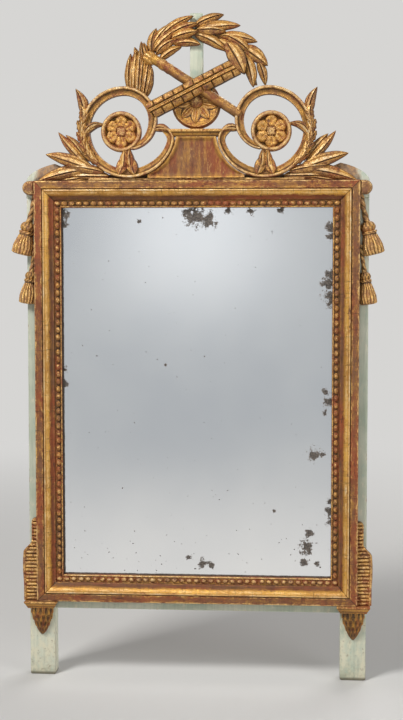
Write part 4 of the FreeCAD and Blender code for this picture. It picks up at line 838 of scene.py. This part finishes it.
def patera():
    """Patera: nine pointed petals with midribs round a domed boss, a ring and a sloped rim.

    The flower's middle stands a little over the disc's middle. A petal's half width goes as
    t^1.1 (1-t)^0.75 from root to tip; q runs across it, 0 on the midrib and 1 on the edge.
    """
    low, high = reach("patera")
    rim, z = (high[0] - low[0]) / 2 - .1, (low[2] + high[2]) / 2
    petals, turned, raised = 9, 267 / 360, 5.0
    boss_r, ring_at, slope_from = 12.2, 41.4, 42.6
    r = np.unique(np.concatenate([np.linspace(0, rim, 84), [rim - .3, rim - .9]]))[:, None]
    a = round_turn(320)
    fx, fz = r * np.cos(a), r * np.sin(a) - raised
    out = np.hypot(fx, fz)
    off = ((np.arctan2(fz, fx) / (2 * np.pi) - turned) * petals + .5) % 1 - .5
    t = unit((out - 9) / 31)
    wide = 2.6 * (1 - t) + 23.5 * t ** 1.1 * (1 - t) ** .75
    q = np.abs(out * np.sin(off * 2 * np.pi / petals)) / np.maximum(wide, .2)
    inside = unit(1 - q ** 4) * (t < 1) * smooth(40.6, 39.6, r)
    groove = bell(q - .40, .16)
    field = 4.4 + 2.6 * smooth(12, 40, r)
    blade = field + inside * (2.9 + 1.3 * bell(q, .18) - 1.5 * groove)
    boss = np.where(out < boss_r, 4.6 + 6.6 * hump(out / boss_r) ** .7, 0)
    ring = np.where(np.abs(r - ring_at) < 1.7, 6.2 + 3.0 * hump((r - ring_at) / 1.7), 0)
    slope = np.where(r > slope_from, 7.4 - 4.4 * smooth(slope_from, rim, r), 0)
    blade = np.where(r < slope_from, blade, 0)
    h = np.maximum.reduce(np.broadcast_arrays(blade, boss, ring, slope))
    h = np.minimum(h + .2 * waver(r / 3, a * 5, 2), high[1])
    shade = bell(q - 1.18, .24) * smooth(.02, .12, t) * (t < 1)
    relief_and_light = np.where(q < 1, 1.08 - .6 * groove, .60 - .66 * shade) * smooth(11.4, 14, out)
    relief_and_light = np.where(out < 12.0, .15 + .85 * hump(out / 12.6), relief_and_light)
    relief_and_light = np.where(r > 40.2, .1 + .9 * hump((r - ring_at) / 1.5), relief_and_light)
    relief_and_light = np.where(r > 42.8, .46 + .2 * smooth(43, rim, r), relief_and_light)
    gold = np.where((r > slope_from) | (out < boss_r), .3, .62) + .25 * waver(r / 5, a * 3, 6)
    return [dish(0.0, z, r[:, 0], low[1], h, relief_and_light, gold)]


# Crest: trophies
def rod_along(middle, slope, back, front, side_of, top, under, relief_and_light, gold, steps):
    """A half-round body along a slanted axis: width and height are given over (s, q)."""
    s = np.linspace(-back, front, steps)[:, None]
    q = np.linspace(-1, 1, 41)
    a = math.radians(slope)
    wide = side_of(s, q)
    wide = beside(wide * q, wide[:, -1:], -wide[:, :1])
    x = middle[0] + s * math.cos(a) - wide * math.sin(a)
    z = middle[1] + s * math.sin(a) + wide * math.cos(a)
    return backed(x, top(s, q), z, relief_and_light(s, q), gold(s, q), under)


def quiver():
    """Quiver: a round-faced case with a raised fillet between rows of staggered blocks."""
    half, low, high, block_long, block_gap = 16.8, 9.5, 33.0, 21.0, 2.4

    def blocks(s, q):
        along = ((s / block_long + np.where(q > 0, 0.0, 0.5)) % 1.0) * block_long
        ends = smooth(0, block_gap, along) * smooth(block_long, block_long - block_gap, along)
        return ends * smooth(.24, .36, np.abs(q)) * smooth(.98, .84, np.abs(q))

    def fillet(q):
        return smooth(.19, .13, np.abs(q))

    def face(s, q):
        arch = low + 6 + (high - low - 8.5) * np.sqrt(unit(1 - (np.abs(q) * .97) ** 2.4))
        raised = fillet(q) * 3.4 - bell(q, .035) * 1.4
        flat = arch - 3.0 + blocks(s, q) * 4.0 + raised + .3 * waver(s / 11, q * 3, 4)
        return low + (flat - low) * (1 - .36 * smooth(58, 84, s))

    def wear_and_light(s, q):
        block = blocks(s, q)
        return .02 + np.maximum(block * (1.1 - .6 * np.abs(block - .5)), fillet(q) * .95)

    def tone(s, q):
        block = blocks(s, q)
        edge = .35 * smooth(.5, .3, np.abs(block - .5))
        return .68 + edge + .25 * waver(s / 13, q, 7) - .25 * block

    def wide(s, q):
        return half + 0 * q + .3 * waver(s / 21, 0, 2)

    return [rod_along((0, 1134.5), 26.8, 98, 87, wide, face, low, wear_and_light, tone, 300)]


def torch():
    """Torch: a plain round shaft, a turned collar near its upper end, a little hand-cut."""
    thick = 9.3

    def collar(s):
        return hump((s + 74) / 5)

    def wide(s, q):
        return thick + .35 * waver(s / 17, q * 2, 3) + .9 * collar(s) + .7 * hump((s + 60) / 3)

    def face(s, q):
        arch = np.sqrt(unit(1 - np.abs(q) ** 2.1)) * wide(s, q) / (thick + 1.3)
        return 13.0 + 12.2 * arch + .25 * waver(s / 9, q * 4, 6)

    def tone(s, q):
        return .34 + .25 * waver(s / 15, q, 5) + .5 * smooth(-78, -92, s) + .2 * collar(s)

    # Lighter on the rod's upper side and darker on its lower: painted light across the shaft.
    def wear_and_light(s, q):
        return .62 + .25 * q + .2 * collar(s)

    return [rod_along((0, 1137), -33, 97, 98, wide, face, 9.0, wear_and_light, tone, 130)]


# Crest: plinth, cap and base
def plinth():
    """Flared plinth: sides along the scrolls' low arcs, a sunk panel in a sloped margin."""
    low, high = reach("crest_plinth")
    foot, depth = high[0], high[1]
    arc_x, arc_z, arc_r = SCROLL[3][:3]
    z = np.linspace(low[2], high[2], 60)[:, None]
    arc = np.sqrt(np.clip((arc_r + .5) ** 2 - (arc_z - z) ** 2, 0, None))
    side = np.minimum(foot, arc_x - arc) - .3
    q = np.concatenate([[-1], np.linspace(-.995, .995, 61), [1]])
    x = side * q
    edge = np.minimum(side * (1 - np.abs(q)), np.minimum(high[2] - z + 2, z - low[2] + 3))
    sunk = smooth(3.0, 11.0, edge)
    h = depth - .4 - 4.2 * sunk + .3 * waver(z / 9, q * 5, 2) - 1.2 * smooth(1.2, 0, edge)
    relief_and_light = .95 - .5 * smooth(2, 6, edge) + .2 * smooth(9, 14, edge)
    gold = .62 - .40 * smooth(3, 15, edge) + .3 * waver(z / 70, x / 7, 4)
    return [backed(beside(x, side, -side), h, z, relief_and_light, gold)]


# Levels up from a block's floor, then levels down from its top: level, inset, setback, relief, gold
CAP = (((0, 3.5, 7.5, .1, .4), (2, 3.5, 7, .3, .6), (4.5, 3, 5.5, .5, .8), (7, 2, 3.4, .3, .8),
        (8.4, 1, 2.2, .05, .5), (9, .2, .6, .8, .9), (10, 0, .1, .95, .7)),
       ((1.2, 0, 0, .95, .7), (.2, .5, .5, .9, .6), (0, 1.5, 1.4, .7, .6)))
BASE = (((0, 1, 1.2, .2, .3), (.5, .2, .3, .8, .5), (1.2, 0, 0, 1, .5)),
        ((1.4, 0, 0, .95, .45), (.4, .4, .5, 1, .5), (0, 1.4, 1.4, .5, .4)))
CORNER = (((0, 7, 6, .1, .3), (.6, 6, 5.2, .5, .5), (2.2, 5.6, 4.8, .7, .6), (3, 5.6, 4.8, .1, .4),
           (3.4, 4.4, 3.8, .3, .5), (5.4, 3.8, 3.4, .5, .6), (7.6, 2.4, 2.2, .6, .7),
           (9.2, 1, 1, .4, .6), (9.8, .9, .9, .05, .4), (10.2, .2, .3, .7, .7), (11, 0, 0, .9, .5)),
          ((.9, 0, 0, .9, .5), (0, .8, .8, .7, .4)))


def stepped(name, node, section, finish, corner=1.2):
    """A moulding carried round the front and both ends of a block.

    Each level's loop is the block's plan less the inset, its front less the setback.
    """
    low, high = reach(node)
    rows = [(low[2] + level, *rest) for level, *rest in section[0]]
    rows += [(high[2] - level, *rest) for level, *rest in section[1]]
    z, inset, setback, relief_and_light, gold = [c[:, None] for c in np.array(rows, float).T]
    front, left, right = high[1] - setback, low[0] + inset, high[0] - inset
    a = np.radians(np.linspace(0, 90, 5))
    forward, sideways = corner * (1 - np.sin(a)), corner * (1 - np.cos(a))
    along = np.linspace(0, 1, 14)[1:-1]
    x = beside(left, left, left + sideways, left + corner + (right - left - 2 * corner) * along,
               right - sideways[::-1], right, right)
    h = beside(0, front * .5, front - forward, front + 0 * along,
               front - forward[::-1], front * .5, 0)
    tone = gold + np.concatenate([[BARE], 0 * x[0, 1:-1], [BARE]])
    carve(name, [loft(x, h, z, relief_and_light, tone)], finish, [node])


def crest_blocks():
    """Cap of the plinth, base strip and corner blocks, each a stepped moulding."""
    stepped("plinth_cap_moulding", "plinth_cap", CAP, GILT)
    stepped("crest_base_strip", "crest_base", BASE, GILT_RAIL)
    for side, _ in SIDES:
        stepped(side + "_corner_block_moulding", side + "_corner_block", CORNER, GILT_TRIM)


# Trimmings on the sides
def half_turned(top, lean, length, radius, relief_and_light, gold, steps):
    """Half of a turned form on a leaning axis, flat at the back; radius is over (s, angle)."""
    s = np.linspace(0, length, steps)[:, None]
    a = np.radians(np.linspace(180, 0, 49))
    r = radius(s, a)
    lean = math.radians(lean)
    across = r * np.cos(a)
    across = beside(across, across[:, -1:] * .95, across[:, :1] * .95)
    x = top[0] + s * math.sin(lean) + across * math.cos(lean)
    z = top[1] - s * math.cos(lean) + across * math.sin(lean)
    return backed(x, np.maximum(r * np.sin(a), 0), z, relief_and_light(s, a) + 0 * r, gold(s, a) + 0 * r)


def tassel(top, lean, knob, knob_h, neck, skirt, skirt_h, strands):
    """Carved tassel: a cupped knob with leaves, a rope collar and a skirt of wavy strands."""
    length = knob_h + skirt_h

    def down(s):
        return unit((s - knob_h - 4) / (skirt_h - 4))

    def strand(s, a):
        wave = .35 * np.sin(2 * np.pi * down(s) * 1.3 + a * 3)
        return np.abs(np.sin(strands * a / 2 + wave)) * smooth(0, .12, down(s))

    def cup(s, a):
        t = s / knob_h
        return unit(1 - np.abs(((a * 5 / np.pi + .5 * (t > .5)) % 1) - .5) * 2 - (1 - t) * .2)

    def radius(s, a):
        ball = knob * hump((s - knob_h * .52) / (knob_h * .56)) ** .9 * (.9 + .1 * cup(s, a))
        rope = neck + 2.4 * hump((s - knob_h - 1) / 3.2) + .5 * np.sin(9 * a + s)
        rope = rope * (s > knob_h - 2) * (s < knob_h + 5)
        fall = (neck + (skirt - neck) * smooth(-.15, .75, down(s)) ** .8) * (s > knob_h + 3)
        fall = fall - 2.6 * (1 - strand(s, a)) * (fall > 0) * smooth(0, .2, down(s))
        end = np.where(s > length - 4, .55 + .45 * hump(unit((s - length + 4) / 4)), 1)
        return np.maximum(np.maximum(ball, rope), fall) * end * (1 + .02 * waver(s / 4, a * 2))

    def relief_and_light(s, a):
        below = np.where(s < knob_h + 4, .6 + .35 * np.sin(9 * a + s),
                         .02 + .95 * strand(s, a) ** .8)
        return np.where(s < knob_h - 1, .25 + .7 * cup(s, a), below)

    def gold(s, a):
        return .62 + .3 * waver(s / 12, a * 2, lean)

    return half_turned(top, lean, length, radius, relief_and_light, gold, 90)


def cord(top, lean, rise, thick):
    """Twisted cord above a tassel: a half-round rod whose radius winds round it."""
    turn = math.radians(lean)
    start = (top[0] - rise * math.sin(turn), top[1] + rise * math.cos(turn))

    def twist(s, a):
        return np.abs(np.sin(a + s / thick * 1.1))

    def radius(s, a):
        return thick * (.8 + .2 * twist(s, a)) * (1 + .15 * np.sin(s / 7))

    return half_turned(start, lean, rise + 3, radius, lambda s, a: .1 + .9 * twist(s, a),
                       lambda s, a: .5 + .2 * waver(s / 9, a), max(24, int(rise * 1.2)))


def ear():
    """Rounded block at the frame's top corner: its outline in layers, drawn in towards the face."""
    low, high = reach("right_ear")
    r, mid = (high[2] - low[2]) / 2, (high[2] + low[2]) / 2
    a = np.radians(np.linspace(-90, 90, 25))
    x = np.concatenate([[low[0]], high[0] - r + r * np.cos(a), [low[0]]])
    z = np.concatenate([[low[2]], mid + r * np.sin(a), [high[2]]])
    layers = np.array([  # height, inset, relief
        (0, 0, .2), (8, 0, .5), (14, .4, .7), (17, 1.4, .85), (18.8, 3, .95), (19.6, 5, .75),
        (19.9, 8, .68), (19.2, 10.5, .66)])
    h, inset, relief_and_light = [c[:, None] for c in layers.T]
    cx, k = (low[0] + high[0]) / 2, 1 - inset / r
    return [loft(np.maximum(cx + (x - cx) * k, low[0]), h, mid + (z - mid) * k, relief_and_light,
                 .1 + .2 * waver(h / 5, z / 7))]


def bracket():
    """Reeded bracket: level half-round reeds across a stepped outline, in a plain rolled rim."""
    low, high = reach("right_reeded_bracket")
    x0, z0, z1 = low[0], low[2], high[2]
    z = np.linspace(z0, z1, 260)[:, None]
    wide, slim = high[0] - x0, 13.0
    w = slim - 1.6 + (wide - slim) * smooth(z0 + 117, z0 + 94, z)
    w = w + 1.6 * smooth(z0 + 30, z0 + 60, z) * smooth(z0 + 104, z0 + 74, z)
    w = w * (hump(unit((z - z1 + 9) / 9)) * .6 + .4)
    q = np.concatenate([np.linspace(0, .98, 40), [1]])
    edge, broad, reed_pitch = w * (1 - q), w > 20, 7.0
    rim = np.where(broad, 6.0, 2.2)
    reed = hump(((z - z0) / reed_pitch % 1 - .5) * 2.15)
    inner = smooth(rim - .6, rim + .5, edge)
    roll = hump((edge - rim / 2) / (rim / 2 + .3))
    h = 8.2 + inner * 3.4 * reed + (1 - inner) * np.where(broad, 3.8 * roll, 2.6 * reed)
    face = smooth(-.05, .04, 1 - q)
    h = h * face + 5 * (1 - face)
    relief_and_light = inner * (.02 + .98 * reed) + (1 - inner) * (.35 + .6 * roll)
    gold = .45 + .3 * waver(z / 15, q * 3, 2)
    return [backed(beside(x0 + w * q, x0 + w, x0), h, z, relief_and_light, gold)]


def leaf_drop():
    """Bud of overlapping leaves on the leg: rows of long pointed scales on a half-turned drop."""
    low, high = reach("right_leaf_drop")
    x, wide = (low[0] + high[0]) / 2, (high[0] - low[0]) / 2 - .3
    top, height = high[2], high[2] - low[2]
    row_pitch, row_start, scale_long, scales = 13.0, -14.0, 33.0, 6

    def scale(s, a):
        best = np.zeros(np.broadcast(s, a).shape)
        for row in range(6):
            t = (s - row * row_pitch - row_start) / scale_long
            off = ((a / np.pi * scales + .5 * (row % 2)) % 1 - .5) * 2
            half = unit(1 - t) ** .55
            inside = (np.abs(off) < half) & (t > 0) & (t < 1)
            vein = 1 - .45 * bell(off, .1)
            blade = unit(t) ** 1.2 * smooth(0, .22, half - np.abs(off)) * vein
            best = np.where(inside, np.maximum(best, blade), best)
        return best

    def radius(s, a):
        form = 1.2 + (wide - 1.2) * unit(1 - (s / height) ** 1.9) ** .85
        return np.maximum(form - 5.2 * (1 - scale(s, a)) * smooth(height, height * .5, s), .8)

    return [half_turned((x, top), 0, height - .4, radius, lambda s, a: .02 + .88 * scale(s, a),
                        lambda s, a: .72 - .4 * s / height + .25 * waver(s / 9, a * 2, 3), 130)]


def trimmings():
    """Both sides' carved pieces; the right side is worked out and turned over for the left."""
    upper, lower = (322, 883), (318.5, 788)  # top of each tassel's knob, x and z
    sets = {
        "upper_tassel": [
            tassel(upper, 14, knob=15, knob_h=20, neck=12.3, skirt=20.4, skirt_h=44, strands=17),
            cord(upper, 14, rise=55, thick=5.8)],
        "lower_tassel": [
            tassel(lower, 8, knob=11.5, knob_h=16, neck=9.2, skirt=17, skirt_h=46, strands=15),
            cord(lower, 8, rise=52, thick=4.6)],
        "reeded_bracket": bracket(), "leaf_drop": leaf_drop(), "ear": ear(), "scroll": scroll(),
        "husk": husk(), "leaf_spray": leaf_spray(), "scroll_leaf": scroll_leaf(),
        "rosette": rosette()}
    also = {"rosette": ["rosette_flower"]}
    finishes = {"reeded_bracket": GILT_TRIM, "ear": GILT_TRIM, "upper_tassel": GILT_FADED,
                "lower_tassel": GILT_FADED}
    for side, sign in SIDES:
        for kind, skins in sets.items():
            nodes = [side + "_" + node for node in [kind] + also.get(kind, [])]
            name, finish = "%s_%s_carved" % (side, kind), finishes.get(kind, GILT)
            carve(name, on_side(skins, sign), finish, nodes)


def dress_cad():
    """Finishes for the CAD solids that stay: glass, backboards, fillets and ironwork."""
    kinds = (("mirror_plate", GLASS), ("nails", IRON), ("screws", IRON), ("hanger_plate", IRON),
             ("hanging_ring", IRON))
    boards = ("backboard_top", "backboard_middle", "backboard_bottom",
              "glazing_fillets", "glazing_blocks", "joint_pegs")
    for name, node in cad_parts.items():
        finish = next((finish for word, finish in kinds if word in name), None)
        if name in boards:
            low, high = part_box(name)
            finish = raw_pine(name + "_pine", 0.37 * boards.index(name), low.z, high.z)
        if finish:
            node.data.materials.clear()
            node.data.materials.append(finish)


gilt_frame()
painted_wood()
wreath()
trimmings()
carve("patera_carved", patera(), GILT, ["patera"])
carve("quiver_carved", quiver(), GILT, ["quiver"])
carve("torch_carved", torch(), GILT, ["torch"])
carve("crest_plinth_carved", plinth(), GILT_PANEL, ["crest_plinth"])
crest_blocks()
dress_cad()


# Studio
def ray(tree, kind):
    """1 for a ray of this kind, such as the camera's own, and 0 for the others."""
    return Tint(tree, tree.nodes.new("ShaderNodeLightPath").outputs[kind])


LAMPS = (  # name, place, size, power
    ("key", (-1.7, -2.4, 3.5), 1.1, 128), ("fill", (2.8, -2.6, 1.8), 2.4, 44),
    ("glow", (-0.42, -5.2, 0.98), 0.8, 1.5), ("rear", (1.2, 3.2, 2.6), 2.4, 60))
LAMP_AIM = Vector((0, 0, 0.7))
BACKGROUND, REFLECTED = colour(214, 213, 211), colour(194, 197, 200)
NEAR_FLOOR = colour(250, 247, 243)
CAMERA_TURN, CAMERA_RISE, CAMERA_AWAY = math.radians(4.223), math.radians(4.152), 2.8
CAMERA_AIM, CAMERA_LENS = Vector((0.01024, -0.011, 0.6202)), 73.33


def pale_floor():
    """A wide flat floor that fades into the background, and into what the glass reflects."""
    mesh = bpy.data.meshes.new("floor")
    mesh.from_pydata([(-30, -30, 0), (30, -30, 0), (30, 30, 0), (-30, 30, 0)], [], [(0, 1, 2, 3)])
    floor = put("floor", mesh)
    material, shader, place = finish_of("floor")
    lay(shader, Base_Color=colour(214, 212, 208), Roughness=0.85)
    tree = material.node_tree
    away = place.node("ShaderNodeVectorMath", {"operation": "LENGTH"}, {0: place}, 1)
    seen = away.step(1.0, 3.2).between(NEAR_FLOOR, REFLECTED)
    seen = ray(tree, "Is Camera Ray").between(seen, BACKGROUND)
    far = place.node("ShaderNodeEmission", {}, {"Color": seen, "Strength": 1.0})
    near = Tint(tree, shader.outputs[0])
    fade = away.step(1.0, 3.6).most(ray(tree, "Is Glossy Ray") * 0.85)
    both = place.node("ShaderNodeMixShader", {}, {0: fade, 1: near, 2: far})
    tree.links.new(both.socket, tree.nodes["Material Output"].inputs["Surface"])
    mesh.materials.append(material)


def studio():
    """Pale floor, even surroundings, soft lamps and the camera at the photograph's angle."""
    pale_floor()
    scene.world = bpy.data.worlds.new("studio")
    scene.world.use_nodes = True
    tree = scene.world.node_tree
    back = tree.nodes["Background"]
    sky = ray(tree, "Is Glossy Ray").between(colour(104, 104, 106), REFLECTED)
    seen = ray(tree, "Is Camera Ray").between(sky, BACKGROUND)
    tree.links.new(seen.socket, back.inputs["Color"])
    back.inputs["Strength"].default_value = 1.0
    for name, spot, size, power in LAMPS:
        lamp = bpy.data.lights.new(name, "AREA")
        lamp.energy, lamp.size = power, size
        made = put(name, lamp)
        made.location = spot
        made.rotation_euler = (LAMP_AIM - Vector(spot)).to_track_quat("-Z", "Y").to_euler()
    level = math.cos(CAMERA_RISE)
    toward = Vector((math.sin(CAMERA_TURN) * level, -math.cos(CAMERA_TURN) * level,
                     math.sin(CAMERA_RISE)))
    view = bpy.data.cameras.new("photo_view")
    view.lens, view.sensor_fit, view.sensor_height = CAMERA_LENS, "VERTICAL", 36.0
    camera = put("photo_view", view)
    camera.location = CAMERA_AIM + toward * CAMERA_AWAY
    camera.rotation_euler = (-toward).to_track_quat("-Z", "Y").to_euler()
    scene.camera = camera
    scene.view_settings.view_transform = "Standard"


studio()
